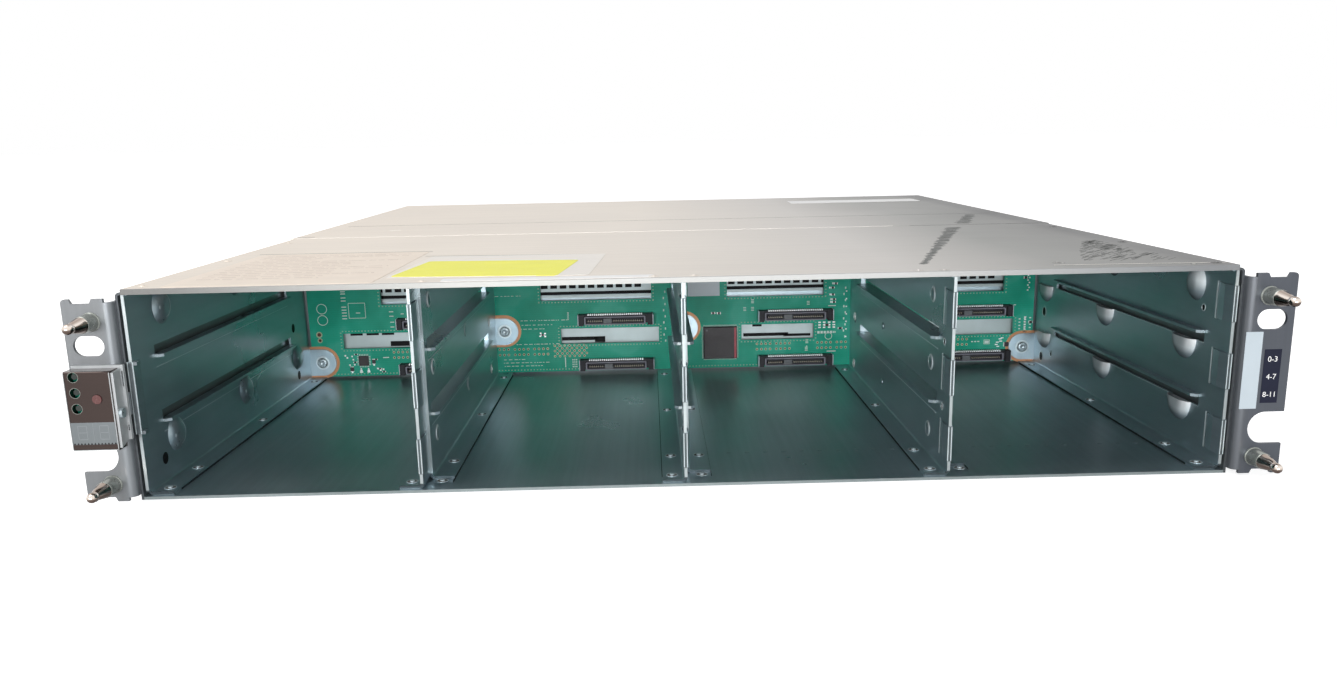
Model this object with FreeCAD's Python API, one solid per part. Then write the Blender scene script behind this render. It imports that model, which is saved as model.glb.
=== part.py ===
import FreeCAD, Part
import math
import os

# Empty 2U disk shelf: a folded sheet-steel chassis with twelve drive bays in
# front of a midplane board, and module bays behind it. It bolts into a rack
# by its two ears, and its status panel has one push button.
#
# Modelling frame, in millimetres: X to the right seen from the front, Y from
# the front edge of the cover towards the back, Z up from the underside.

V = FreeCAD.Vector

# ---------------------------------------------------------------- rack
rack_flange_width = 482.6     # over the two ears
rack_unit = 44.45
rack_units = 2
rack_clearance = 2.9          # the body is that much lower than its rack units
rack_slot_inset = 8.75        # middle of a slot from the outer edge of its ear

# ---------------------------------------------------------------- chassis
ear_reach = 19.3              # ear past the outer face of the side panel
body_depth = 525.0
floor_sheet = 1.2
cover_sheet = 1.2
side_sheet = 1.0
wall_sheet = 1.2              # inner walls and bay dividers
side_gap = 1.2                # air between a side panel and its inner wall
fold_radius = 0.8             # inside radius of a sheet fold
cover_lip = 1.0               # front edge of the cover, turned down
cover_seam_lead = 4.4         # seam in front of the midplane board
cover_seam_gap = 0.6
seat_gap = 0.1                # between sheets that lie side by side
small_sides = 10              # of small fasteners and their holes
form_sides = 12               # of domes and scoops

# ---------------------------------------------------------------- bays
bay_columns = 4
bay_rows = 3
outer_bay_extra = 3.2         # outer bays are wider by that
row_allowance = 3.5           # sheets and air over all the rows
flange_width = 9.0
right_sheet_setback = 14.0    # second sheet of a divider starts behind the clips

# ---------------------------------------------------------------- rails
ledge_reach = 3.0
ledge_corner = 1.6
rail_start_y = 20.0
rail_end_gap = 31.4           # from the end of a ledge to the board
rail_slot_height = 4.0

# ---------------------------------------------------------------- pressed forms
dome_radius = 7.0
dome_height = 2.6
dome_top_share = 0.45          # flat top of a dome or scoop, of its radius
dome_rise = 18.8              # middle of a dome above its row's floor or ledge
dome_start_y = 30.0
dome_end_gap = 23.4           # from the last dome's middle to the board
scoop_radius = 9.5
scoop_height = 2.8
scoop_start_y = 36.0
scoop_end_gap = 16.4
sheet_hole_radius = 3.0        # tooling holes of a divider's left sheet, one in each row
sheet_hole_end_gap = 15.4      # from their middles to the board
sheet_hole_rise = 5.4          # above the row's floor
sheet_hole_sides = 8

# ---------------------------------------------------------------- clips
clip_slot_y = 11.3
clip_slot_width = 2.6
clip_slot_length = 15.4
clip_slot_rise = 14.1         # middle of a slot above its row's floor
clip_height = 14.8
clip_strip = 0.3
clip_bulge = 0.6
clip_clearance = 0.05
guard_height = 29.5
guard_centre_rise = 41.3      # above the floor sheet
guard_depth = 5.0
guard_wall = 0.6
guard_hook = 1.4

# ---------------------------------------------------------------- midplane
board_front_y = 217.4
board_thickness = 2.6
board_margin = 1.2            # board edge to the walls
board_bottom_z = 2.6
board_top_gap = 2.4
bulkhead_gap = 3.0
bulkhead_sheet = 1.2
tab_radius = 8.0
wall_tab_offset = 8.8         # screw from the back face of an inner wall
divider_tab_offset = 6.6      # screw from the back face of a divider sheet
wall_tab_rise = 10.4          # screws above the floor sheet
divider_tab_rise = 26.6
screw_shank_radius = 1.5
screw_hole_clearance = 0.1
screw_head_radius = 3.0
screw_head_height = 1.8
standoff_flats = 5.5

# ---------------------------------------------------------------- connectors
connector_width = 44.5
connector_height = 6.5
connector_depth = 6.0
connector_post = 3.2          # width of the posts at its ends
connector_wall = 1.1
connector_key = (16.9, 19.6)  # gap in its tongue, from its left end
connector_side_gap = 12.3     # from a connector to the middle of the divider on its right
connector_rise = 5.55         # connector centre above its row's floor
module_connector_width = 118.0
module_connector_height = 12.0
module_low_rise = 11.3        # middles of the module connectors above the floor
module_high_rise = 63.3
module_connector_depth = 15.0
power_connector_width = 62.0
power_connector_rise = 35.8

# ---------------------------------------------------------------- chips
# Column of the bay, offset from its centre and rise above the floor sheet, and size.
expander_column = 2
expander_place = (-25.9, 17.05)
expander_size = (20.1, 19.5, 2.4)
monitor_column = 0
monitor_place = (-25.1, 10.8)
monitor_size = (5.9, 6.0, 1.2)

# ---------------------------------------------------------------- windows
low_window_gaps = (9.3, 2.4)      # to the drive connectors below and above
high_window_gaps = (8.1, 1.7)
top_window_gaps = (6.5, 1.4)      # to the connector below and the board's edge
# Left and right edges of each column's windows, from the bay centre.
low_windows = ((-36.5, 44.5), (-13.9, 45.0), (-12.9, 30.7), (-38.5, 44.0))
high_windows = ((-12.5, 40.5), (-25.2, 40.9), (-21.6, 36.6), (-32.0, 37.5))

# ---------------------------------------------------------------- bulkhead holes
vent_size = 3.2
vent_pitch = 5.6
vent_count = 11
vent_drop = 3.7               # middle of the vents below the window's top

# Slots behind the low windows of each bay: X from the bay's centre, Z above the floor sheet.
bulkhead_slots = (
    (((-33.5, -26.1), (25.2, 27.4)), ((-23.8, -16.4), (25.2, 27.4)), ((-14.6, -7.2), (25.2, 27.4)),
     ((-9.7, 14.0), (18.2, 21.3))),
    (((-13.8, 12.4), (18.2, 20.7)),),
    (((-11.4, 16.0), (19.2, 21.2)),),
    ())

# ---------------------------------------------------------------- ears
rack_slot_drop = 18.5         # below the top of the ear
rack_slot_length = 12.0
rack_slot_height = 8.1
rack_notch_height = 13.3
rack_notch_depth = 14.3
ear_sheet = 1.5
ear_front_y = -4.0
ear_leg_length = 58.0
ear_fold_radius = 1.5
ear_bottom_z = 0.9
ear_top_gap = 3.0             # below the top of the cover
ear_corner = 1.6
ear_relief_depth = 1.8
ear_relief_width = 8.8
ear_relief_inset = 3.1        # from the outer edge of the ear
ear_leg_inset = 1.5

# ---------------------------------------------------------------- bezel studs
stud_inset = 10.7             # from the outer edge of the ear
stud_low_gap = 7.3            # from the lower edge of the ear
stud_high_gap = 9.0           # from the upper edge of the ear
stud_collar_radius = 3.8
stud_collar_length = 7.0
stud_shank_radius = 2.9
stud_shank_length = 4.0
stud_cone_radius = 2.6         # of the tip where it leaves the shank
stud_neck_radius = 1.4
stud_ball_radius = 2.0
stud_length = 19.0
stud_sides = 18

# ---------------------------------------------------------------- status panel
panel_width = 18.0
panel_height = 31.5
panel_depth = 6.8
panel_wall = 0.7
panel_edge_radius = 0.8
panel_inset = 1.4             # from the outer edge of the ear
panel_bottom_z = 24.6
bracket_thickness = 1.5
bracket_overhang = 2.2        # past the side panel, towards the bays
bracket_bottom_z = 27.2
bracket_top_z = 57.2
bracket_opening_margin = 3.0
bracket_tab_thickness = 1.0   # upright tab beside the housing
bracket_tab_slope = 2.4       # rise of its lower edge towards the ear
bracket_slit_inset = 0.6      # from the bracket's inner edge
bracket_slit_width = 0.6
bracket_slits = ((30.8, 33.1), (48.6, 54.8))   # low and high end of each slit
led_hole_radius = 2.0
light_pipe_radius = 1.1
led_recess = 1.2
led_inset = 3.9               # from the outer edge of the housing
led_first_z = 41.5
led_pitch = 6.25
led_count = 3
button_inset = 5.9            # from the inner edge of the housing
button_z = 45.2
button_radius = 1.8
button_clearance = 0.15
button_flange = 0.8
button_flange_thickness = 0.8
button_stem_radius = 1.2
button_proud = 0.4
button_seat_gap = 0.05
button_travel = 0.8
switch_gap = 0.1              # left between button and switch when pressed
switch_size = 4.2
switch_height = 1.5
switch_plunger_radius = 1.0
switch_plunger_height = 0.4
window_low_z = 27.1
window_high_z = 36.0
window_side_wall = 0.5
display_depth = 3.0
display_margin = 0.6
panel_board_thickness = 1.2
panel_board_clearance = 0.2
panel_opening_height = 25.0
panel_opening_centre_z = 42.5
panel_opening_depth = 10.0
panel_screw_y = -9.3
panel_screw_z = 38.9
panel_screw_head_radius = 1.9
panel_screw_head_height = 1.2
panel_screw_radius = 0.9
panel_screw_end = 1.0         # past the wall of the housing
lug_height = 9.0
lug_centre_z = 41.2

# ---------------------------------------------------------------- rear bays
power_bay_width = 108.5
rear_sheet = 1.0
rear_end_inset = 1.0
shelf_flange = 7.0

# ---------------------------------------------------------------- worked out
ear_outer_x = rack_flange_width / 2
half_width = ear_outer_x - ear_reach
body_height = rack_units * rack_unit - rack_clearance
side_inner_x = half_width - side_sheet
wall_back_x = side_inner_x - side_gap
wall_face_x = wall_back_x - wall_sheet
bay_pitch = (wall_face_x - outer_bay_extra) * 2 / bay_columns
row_pitch = (body_height - row_allowance) / bay_rows
cover_under_z = body_height - cover_sheet
web_low_z = floor_sheet
board_rear_y = board_front_y + board_thickness
bulkhead_front_y = board_rear_y + bulkhead_gap
bulkhead_rear_y = bulkhead_front_y + bulkhead_sheet
ear_rear_y = ear_front_y + ear_sheet
leg_outer_x = half_width + ear_sheet
ear_top_z = body_height - ear_top_gap
slot_x = ear_outer_x - rack_slot_inset
rack_slot_z = ear_top_z - rack_slot_drop
notch_z = rack_slot_z - rack_unit
bracket_front_y = ear_front_y - bracket_thickness
panel_front_y = bracket_front_y - panel_depth
panel_outer_x = ear_outer_x - panel_inset
panel_inner_x = panel_outer_x - panel_width
bracket_inner_x = half_width - bracket_overhang
bracket_slit_x = bracket_inner_x + bracket_slit_inset
panel_top_z = panel_bottom_z + panel_height
panel_board_front_y = bracket_front_y - panel_board_thickness
button_x = panel_inner_x + button_inset
led_x = panel_outer_x - led_inset
led_zs = [led_first_z + index * led_pitch for index in range(led_count)]
stud_tip_y = ear_front_y - stud_length
rear_wall_x = side_inner_x - power_bay_width
rear_end_y = body_depth - rear_end_inset
# Middle of the overall depth, where the part's own origin lies.
origin_y = (stud_tip_y + body_depth) / 2
stud_x = ear_outer_x - stud_inset
stud_zs = (ear_bottom_z + stud_low_gap, ear_top_z - stud_high_gap)
cover_seam_y = board_front_y - cover_seam_lead
rail_end_y = board_front_y - rail_end_gap

bay_centres = [(column - (bay_columns - 1) / 2) * bay_pitch for column in range(bay_columns)]
divider_xs = [(index - (bay_columns - 2) / 2) * bay_pitch for index in range(bay_columns - 1)]
row_zs = [floor_sheet + row * row_pitch for row in range(bay_rows)]
ledge_zs = row_zs[1:]
clip_zs = [z + clip_slot_rise for z in row_zs]
connector_zs = [z + connector_rise for z in row_zs]
connector_offset = (bay_pitch - connector_width) / 2 - connector_side_gap
wall_tab_z = floor_sheet + wall_tab_rise
divider_tab_z = floor_sheet + divider_tab_rise
dome_ys = [dome_start_y, (dome_start_y + board_front_y - dome_end_gap) / 2, board_front_y - dome_end_gap]
scoop_ys = [scoop_start_y, (scoop_start_y + board_front_y - scoop_end_gap) / 2, board_front_y - scoop_end_gap]


# ================================================================ tools
def box(x_range, y_range, z_range):
    """Block between the low and high value on each axis."""
    size = [high - low for low, high in (x_range, y_range, z_range)]
    corner = V(x_range[0], y_range[0], z_range[0])
    return Part.makeBox(size[0], size[1], size[2], corner)


def rod(radius, start, end):
    """Cylinder between two points."""
    axis = end - start
    return Part.makeCylinder(radius, axis.Length, start, axis)


def flat_face(points):
    """Flat face with straight edges."""
    return Part.Face(Part.makePolygon(points + points[:1]))


def faceted(profile, base, axis, sides):
    """Many-sided solid along an axis: (distance, radius) pairs, to the flats."""
    side_a = V(axis.y, axis.z, axis.x)
    side_b = axis.cross(side_a)
    rings = []
    for distance, radius in profile:
        across = radius / math.cos(math.pi / sides)
        ring = []
        for index in range(sides):
            angle = (index + 0.5) * 2 * math.pi / sides
            spoke = side_a * math.cos(angle) + side_b * math.sin(angle)
            ring.append(base + axis * distance + spoke * across)
        rings.append(ring)
    faces = [flat_face(rings[0][::-1]), flat_face(rings[-1])]
    for near, far in zip(rings, rings[1:]):
        for index in range(sides):
            other = (index + 1) % sides
            faces.append(flat_face([near[index], near[other], far[other], far[index]]))
    shell = Part.Shell(faces)
    shell.sewShape()
    return Part.Solid(shell)


def peg(radius, start, length):
    """Many-sided pin along Y, for a small hole."""
    return faceted([(0, radius), (length, radius)], start, V(0, 1, 0), small_sides)


def corner_arc(before, corner, after, radius):
    """Start, middle and end of the arc that rounds one corner."""
    into = (before - corner).normalize()
    out = (after - corner).normalize()
    half_angle = into.getAngle(out) / 2
    reach = radius / math.tan(half_angle)
    centre_distance = radius / math.sin(half_angle)
    towards = (into + out).normalize()
    start = corner + into * reach
    middle = corner + towards * (centre_distance - radius)
    end = corner + out * reach
    return start, middle, end


def rounded_edges(points, radii):
    """Edges of an open line whose inner corners are rounded."""
    edges = []
    last = points[0]
    for index, radius in enumerate(radii, start=1):
        if radius > 0:
            start, middle, end = corner_arc(points[index - 1], points[index], points[index + 1], radius)
            edges.append(Part.makeLine(last, start))
            edges.append(Part.Arc(start, middle, end).toShape())
            last = end
        else:
            edges.append(Part.makeLine(last, points[index]))
            last = points[index]
    edges.append(Part.makeLine(last, points[-1]))
    return edges


def left_offset(path, distance):
    """Flat path moved to its left, with its corners mitred."""
    directions = []
    for start, end in zip(path, path[1:]):
        length = math.hypot(end[0] - start[0], end[1] - start[1])
        directions.append(((end[0] - start[0]) / length, (end[1] - start[1]) / length))
    moved = []
    for index, (u, v) in enumerate(path):
        before = directions[max(index - 1, 0)]
        after = directions[min(index, len(directions) - 1)]
        normal = (-before[1] - after[1], before[0] + after[0])
        scale = distance / (1 + before[0] * after[0] + before[1] * after[1])
        moved.append((u + normal[0] * scale, v + normal[1] * scale))
    return moved


def folded_sheet(path, thickness, radius, place, sweep):
    """Sheet that follows a flat path, with its thickness on the path's left."""
    other = left_offset(path, thickness)
    near_radii = []
    far_radii = []
    for before, corner, after in zip(path, path[1:], path[2:]):
        along = (corner[0] - before[0], corner[1] - before[1])
        onward = (after[0] - corner[0], after[1] - corner[1])
        turns_left = along[0] * onward[1] - along[1] * onward[0] > 0
        outer = radius + thickness if radius > 0 else 0
        near_radii.append(outer if turns_left else radius)
        far_radii.append(radius if turns_left else outer)
    near = [place(u, v) for u, v in path]
    far = [place(u, v) for u, v in reversed(other)]
    edges = rounded_edges(near, near_radii)
    edges.append(Part.makeLine(near[-1], far[0]))
    edges += rounded_edges(far, far_radii[::-1])
    edges.append(Part.makeLine(far[-1], near[0]))
    return Part.Face(Part.Wire(edges)).extrude(sweep)


def in_xy(u, v):
    """Point on the floor plane."""
    return V(u, v, 0)


def in_xz(u, v):
    """Point on the front plane."""
    return V(u, 0, v)


def in_yz(u, v):
    """Point on the middle plane."""
    return V(0, u, v)


def turned(profile, base, axis_y):
    """Solid of revolution: (radius, distance) pairs along the Y axis."""
    points = [base + V(radius, axis_y * distance, 0) for radius, distance in profile]
    return flat_face(points).revolve(base, V(0, 1, 0), 360)


def slot_cut(centre, length, height, depth):
    """Round-ended slot along X that is cut through a plate along Y."""
    radius = height / 2
    half = length / 2 - radius
    start = centre - V(0, depth / 2, 0)
    sweep = V(0, depth, 0)
    body = box((start.x - half, start.x + half), (start.y, start.y + depth),
               (start.z - radius, start.z + radius))
    ends = [rod(radius, start + V(x, 0, 0), start + V(x, 0, 0) + sweep) for x in (-half, half)]
    return body.fuse(ends)


def mirrored(shape):
    """Copy on the other side of the middle plane."""
    return shape.mirror(V(0, 0, 0), V(1, 0, 0))


def one_solid(shape):
    """The single solid of a fused shape, with its seams merged."""
    return shape.removeSplitter().Solids[0]


def write(name, solids):
    """Move a node's solids to the part's own origin and write them."""
    shape = solids[0] if len(solids) == 1 else Part.makeCompound(solids)
    moved = shape.copy()
    moved.translate(V(0, -origin_y, 0))
    moved.exportStep("parts/" + name + ".step")


# ================================================================ sheets
def base_pan():
    """Floor sheet, between the side panels."""
    return box((-side_inner_x, side_inner_x), (0, body_depth), (0, floor_sheet))


def side_panel():
    """Right side panel, folded in under the edge of the cover."""
    path = [(half_width, 0), (half_width, cover_under_z), (wall_back_x + seat_gap, cover_under_z)]
    return folded_sheet(path, side_sheet, fold_radius, in_xz, V(0, body_depth, 0))


def top_cover_front():
    """Front cover, its front edge turned down over the dividers."""
    half = wall_back_x
    end_y = cover_seam_y - cover_seam_gap / 2
    path = [(0, cover_under_z - cover_lip), (0, body_height), (end_y, body_height)]
    cover = folded_sheet(path, -cover_sheet, fold_radius / 2, in_yz, V(2 * half, 0, 0))
    cover.translate(V(-half, 0, 0))
    return cover


def top_cover_rear():
    """Rear cover, from the seam to the back edge."""
    start_y = cover_seam_y + cover_seam_gap / 2
    return box((-half_width, half_width), (start_y, body_depth), (cover_under_z, body_height))


def channel(front_y, rear_y, sheet, web_top_z):
    """Upright sheet with a flange on the floor and one under the cover.

    Its back face is X = 0 and its flanges point to +X."""
    edge = flange_width + sheet
    path = [(edge, web_top_z), (0, web_top_z), (0, web_low_z), (edge, web_low_z)]
    upright = folded_sheet(path, sheet, fold_radius, in_xz, V(0, rear_y - front_y, 0))
    upright.translate(V(0, front_y, 0))
    return upright


def ledge(top_z):
    """Drive ledge that is lanced out of an upright sheet, with clipped corners."""
    reach = wall_sheet + ledge_reach
    corner = ledge_corner
    points = [V(0, rail_start_y, top_z), V(reach - corner, rail_start_y, top_z),
              V(reach, rail_start_y + corner, top_z), V(reach, rail_end_y - corner, top_z),
              V(reach - corner, rail_end_y, top_z), V(0, rail_end_y, top_z)]
    return flat_face(points).extrude(V(0, 0, -wall_sheet))


def rail_slot(top_z, above):
    """Slot left in the sheet where its ledge was bent out."""
    low = top_z if above else top_z - wall_sheet - rail_slot_height
    return box((-wall_sheet, wall_sheet * 2), (rail_start_y, rail_end_y), (low, low + rail_slot_height))


def press_dome(sheet, y, z, radius, height, top_z):
    """Sheet with a hollow dome pressed out of its front face, kept below top_z."""
    top_radius = radius * dome_top_share
    spring = wall_sheet / 2
    outwards = V(1, 0, 0)
    outer = faceted([(0, radius), (height, top_radius)], V(wall_sheet, y, z), outwards, form_sides)
    inner = faceted([(0, radius - spring), (height, top_radius - spring)], V(0, y, z), outwards, form_sides)
    space = box((0, wall_sheet + height), (y - radius * 2, y + radius * 2), (z - radius * 2, top_z))
    return sheet.fuse(outer.common(space)).cut(inner.common(space))


def screw_tab(offset, z):
    """Tab across the end of a sheet that a midplane screw holds."""
    front = board_front_y - wall_sheet
    plate = box((0, offset), (front, board_front_y), (z - tab_radius, z + tab_radius))
    end = rod(tab_radius, V(offset, front, z), V(offset, board_front_y, z))
    hole_radius = screw_shank_radius + screw_hole_clearance
    hole = peg(hole_radius, V(offset, front - wall_sheet, z), wall_sheet * 3)
    behind = box((-tab_radius, 0), (front, board_front_y), (z - tab_radius, z + tab_radius))
    return plate.fuse(end).cut(behind), hole


def clip_slots():
    """Upright slots behind the front edge, where the clips hook in."""
    half_width_y = clip_slot_width / 2
    half_length = clip_slot_length / 2
    return [box((-wall_sheet, wall_sheet * 2), (clip_slot_y - half_width_y, clip_slot_y + half_width_y),
                (z - half_length, z + half_length)) for z in clip_zs]


def bay_sheet(front_y, slots_above, has_clips, tab_offset, tab_zs):
    """Wall sheet of a bay: a channel with ledges, tabs and clip slots."""
    lip_clear = max(front_y, cover_sheet + fold_radius)
    sheet = channel(lip_clear, board_front_y, wall_sheet, cover_under_z)
    if front_y < lip_clear:
        low = web_low_z + wall_sheet + fold_radius
        high = cover_under_z - cover_lip - seat_gap
        sheet = sheet.fuse(box((0, wall_sheet), (front_y, lip_clear), (low, high)))
    sheet = sheet.fuse([ledge(z) for z in ledge_zs])
    tabs = [screw_tab(tab_offset, z) for z in tab_zs]
    sheet = sheet.fuse([tab for tab, hole in tabs])
    tools = [rail_slot(z, slots_above) for z in ledge_zs] + [hole for tab, hole in tabs]
    if has_clips:
        tools += clip_slots()
    return sheet.cut(tools)


def finished_sheet(sheet, x, side):
    """Sheet moved to its place, with its flanges towards side."""
    placed = one_solid(sheet if side > 0 else mirrored(sheet))
    placed.translate(V(x, 0, 0))
    return placed


def inner_wall_left():
    """Left wall of the bays: ledges and round domes."""
    sheet = bay_sheet(0, True, False, wall_tab_offset, [wall_tab_z])
    for y in dome_ys:
        for row_z in (row_zs[0], row_zs[-1]):
            z = row_z + dome_rise
            sheet = press_dome(sheet, y, z, dome_radius, dome_height, z + dome_radius * 2)
    return finished_sheet(sheet, -wall_back_x, 1)


def inner_wall_right():
    """Right wall of the bays: ledges that stand on scoops, and round domes."""
    sheet = bay_sheet(0, False, True, wall_tab_offset, [wall_tab_z])
    for y in scoop_ys:
        for top_z in ledge_zs:
            slot_low = top_z - wall_sheet - rail_slot_height
            sheet = press_dome(sheet, y, slot_low, scoop_radius, scoop_height, slot_low)
    for y in dome_ys:
        sheet = press_dome(sheet, y, row_zs[-1] + dome_rise, dome_radius, dome_height, body_height)
    return finished_sheet(sheet, wall_back_x, -1)


def divider_left_sheet(x):
    """Left sheet of a divider; it reaches the front and carries the clips."""
    sheet = bay_sheet(0, True, True, divider_tab_offset, [])
    y = board_front_y - sheet_hole_end_gap
    bore = [(0, sheet_hole_radius), (wall_sheet * 3, sheet_hole_radius)]
    starts = [V(-wall_sheet, y, z + sheet_hole_rise) for z in row_zs]
    holes = [faceted(bore, start, V(1, 0, 0), sheet_hole_sides) for start in starts]
    return finished_sheet(sheet.cut(holes), x, -1)


def divider_right_sheet(x):
    """Right sheet of a divider; it starts behind the clips and has the screw tab."""
    sheet = bay_sheet(right_sheet_setback, True, False, divider_tab_offset, [divider_tab_z])
    return finished_sheet(sheet, x, 1)


# ================================================================ clips
def emi_clip(x, side, z):
    """Spring clip folded over the front edge of a sheet with its back at x."""
    near = -clip_clearance
    far = wall_sheet + clip_clearance
    middle_y = clip_slot_y / 2
    bent_y = clip_slot_y - clip_slot_width / 2 + clip_strip
    hook_y = clip_slot_y + clip_slot_width / 4
    path = [(far - clip_strip, hook_y), (far, bent_y), (far + clip_bulge, middle_y), (far, near),
            (near, near), (near - clip_bulge, middle_y), (near, bent_y), (near + clip_strip, hook_y)]
    low = z - clip_height / 2
    clip = folded_sheet(path, clip_strip, 0, in_xy, V(0, 0, clip_height))
    placed = clip if side > 0 else mirrored(clip)
    placed.translate(V(x, 0, low))
    return placed


def cable_edge_guard():
    """Plastic channel over the front edge of the left wall, with end hooks."""
    near = -clip_clearance
    far = wall_sheet + clip_clearance
    path = [(far, guard_depth), (far, near), (near, near), (near, guard_depth)]
    low = floor_sheet + guard_centre_rise - guard_height / 2
    guard = folded_sheet(path, guard_wall, 0, in_xy, V(0, 0, guard_height))
    guard.translate(V(0, 0, low))
    outer = far + guard_wall
    for z in (low, low + guard_height - guard_hook):
        hook = box((outer, outer + guard_hook), (near - guard_wall, guard_depth / 2), (z, z + guard_hook))
        guard = guard.fuse(hook)
    guard = one_solid(guard)
    guard.translate(V(-wall_back_x, 0, 0))
    return guard


# ================================================================ midplane
def tab_places():
    """Screw positions of all midplane tabs."""
    wall_x = wall_back_x - wall_tab_offset
    places = [V(-wall_x, board_front_y, wall_tab_z), V(wall_x, board_front_y, wall_tab_z)]
    places += [V(x + divider_tab_offset, board_front_y, divider_tab_z) for x in divider_xs]
    return places


def window_heights():
    """Z ranges of the low, high and top windows, between the connectors."""
    edges = [(z - connector_height / 2, z + connector_height / 2) for z in connector_zs]
    edges.append((board_outline()[1][1], body_height))
    heights = []
    for row, (gap_below, gap_above) in enumerate((low_window_gaps, high_window_gaps, top_window_gaps)):
        heights.append((edges[row][1] + gap_below, edges[row + 1][0] - gap_above))
    return heights


def window_boxes():
    """X and Z ranges of the airflow windows in the board."""
    low_z, high_z, top_z = window_heights()
    windows = []
    for centre, low, high in zip(bay_centres, low_windows, high_windows):
        windows.append(((centre + low[0], centre + low[1]), low_z))
        windows.append(((centre + high[0], centre + high[1]), high_z))
        windows.append(((centre + high[0], centre + high[1]), top_z))
    return windows


def board_outline():
    """X and Z ranges of the board and of the bulkhead behind it."""
    half = wall_face_x - board_margin
    return (-half, half), (board_bottom_z, cover_under_z - board_top_gap)


def midplane_board():
    """Circuit board that closes the bays, with its airflow windows."""
    x_range, z_range = board_outline()
    board = box(x_range, (board_front_y, board_rear_y), z_range)
    tools = []
    y_range = (board_front_y - board_thickness, board_rear_y + board_thickness)
    for x_range, z_range in window_boxes():
        tools.append(box(x_range, y_range, z_range))
    hole_radius = screw_shank_radius + screw_hole_clearance
    for place in tab_places():
        tools.append(peg(hole_radius, place - V(0, board_thickness, 0), board_thickness * 3))
    return board.cut(tools)


def module_connectors():
    """Name, centre and width of the connectors on the back of the board."""
    power_x = (rear_wall_x + side_inner_x) / 2
    power_z = floor_sheet + power_connector_rise
    high_z = floor_sheet + module_high_rise
    low_z = floor_sheet + module_low_rise
    return {
        "module_connector_upper": (V(0, board_rear_y, high_z), module_connector_width),
        "module_connector_lower": (V(0, board_rear_y, low_z), module_connector_width),
        "power_connector_left": (V(-power_x, board_rear_y, power_z), power_connector_width),
        "power_connector_right": (V(power_x, board_rear_y, power_z), power_connector_width),
    }


def module_connector(centre, width):
    """Socket that a module plugs into from the rear."""
    half = width / 2
    tall = module_connector_height / 2
    rim = module_connector_height / 5
    shell = box((centre.x - half, centre.x + half), (centre.y, centre.y + module_connector_depth),
                (centre.z - tall, centre.z + tall))
    mouth = box((centre.x - half + rim, centre.x + half - rim),
                (centre.y + rim, centre.y + module_connector_depth + rim),
                (centre.z - tall + rim, centre.z + tall - rim))
    return shell.cut(mouth)


def midplane_bulkhead():
    """Steel sheet behind the board, with vents and connector openings."""
    x_range, z_range = board_outline()
    sheet = box(x_range, (bulkhead_front_y, bulkhead_rear_y), z_range)
    y_range = (bulkhead_front_y - bulkhead_sheet, bulkhead_rear_y + bulkhead_sheet)
    tools = []
    for centre, width in module_connectors().values():
        half = width / 2 + seat_gap * 5
        tall = module_connector_height / 2 + seat_gap * 5
        tools.append(box((centre.x - half, centre.x + half), y_range, (centre.z - tall, centre.z + tall)))
    vent_z = window_heights()[1][1] - vent_drop
    for centre, (left, right) in zip(bay_centres, high_windows):
        middle = centre + (left + right) / 2
        for index in range(vent_count):
            x = middle + (index - (vent_count - 1) / 2) * vent_pitch
            half = vent_size / 2
            tools.append(box((x - half, x + half), y_range, (vent_z - half, vent_z + half)))
    for centre, slots in zip(bay_centres, bulkhead_slots):
        for (left, right), (low, high) in slots:
            z_range = (floor_sheet + low, floor_sheet + high)
            tools.append(box((centre + left, centre + right), y_range, z_range))
    return sheet.cut(tools)


def midplane_screw(place):
    """Screw through a tab and the board, down to its standoff."""
    seat = place - V(0, wall_sheet, 0)
    profile = [(-screw_head_height, screw_head_radius), (0, screw_head_radius),
               (0, screw_shank_radius), (board_rear_y - seat.y, screw_shank_radius)]
    return faceted(profile, seat, V(0, 1, 0), small_sides)


def standoff(place):
    """Hexagonal spacer between the board and the bulkhead."""
    profile = [(0, standoff_flats / 2), (bulkhead_gap, standoff_flats / 2)]
    return faceted(profile, V(place.x, board_rear_y, place.z), V(0, 1, 0), 6)


def drive_connector(bay_centre, z):
    """Drive socket on the board: two posts, a pocket and a keyed tongue."""
    x = bay_centre + connector_offset
    half = connector_width / 2
    tall = connector_height / 2
    post = connector_post
    lip = connector_wall
    key_start, key_end = connector_key
    front = board_front_y - connector_depth
    shell = box((x - half, x + half), (front + lip, board_front_y), (z - tall + lip, z + tall))
    posts = [box((x + end - post, x + end), (front, board_front_y), (z - tall, z + tall))
             for end in (-half + post, half)]
    pocket = box((x - half + post + lip, x + half - post - lip), (front, board_front_y - lip),
                 (z - tall + lip * 2, z + tall - lip))
    tongue_z = z + lip / 2
    tongues = [box((x - half + post + lip * 2, x - half + key_start), (front + lip, board_front_y),
                   (tongue_z - lip / 2, tongue_z + lip / 2)),
               box((x - half + key_end, x + half - post - lip * 2), (front + lip, board_front_y),
                   (tongue_z - lip / 2, tongue_z + lip / 2))]
    return one_solid(shell.fuse(posts).cut(pocket).fuse(tongues))


def board_chip(bay_centre, place, size):
    """Chip package on the front of the board, with its top edges chamfered."""
    offset, rise = place
    width, tall, height = size
    x = bay_centre + offset
    z = floor_sheet + rise
    z_range = (z - tall / 2, z + tall / 2)
    chip = box((x - width / 2, x + width / 2), (board_front_y - height, board_front_y), z_range)
    front = [edge for edge in chip.Edges if edge.BoundBox.YMax < board_front_y - height / 2]
    return chip.makeChamfer(height / 5, front)


# ================================================================ rear bays
def rear_divider():
    """Right rear divider, between the power bay and the module bays."""
    sheet = channel(bulkhead_rear_y, rear_end_y, rear_sheet, cover_under_z)
    sheet = mirrored(sheet)
    sheet.translate(V(rear_wall_x, 0, 0))
    return sheet


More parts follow.
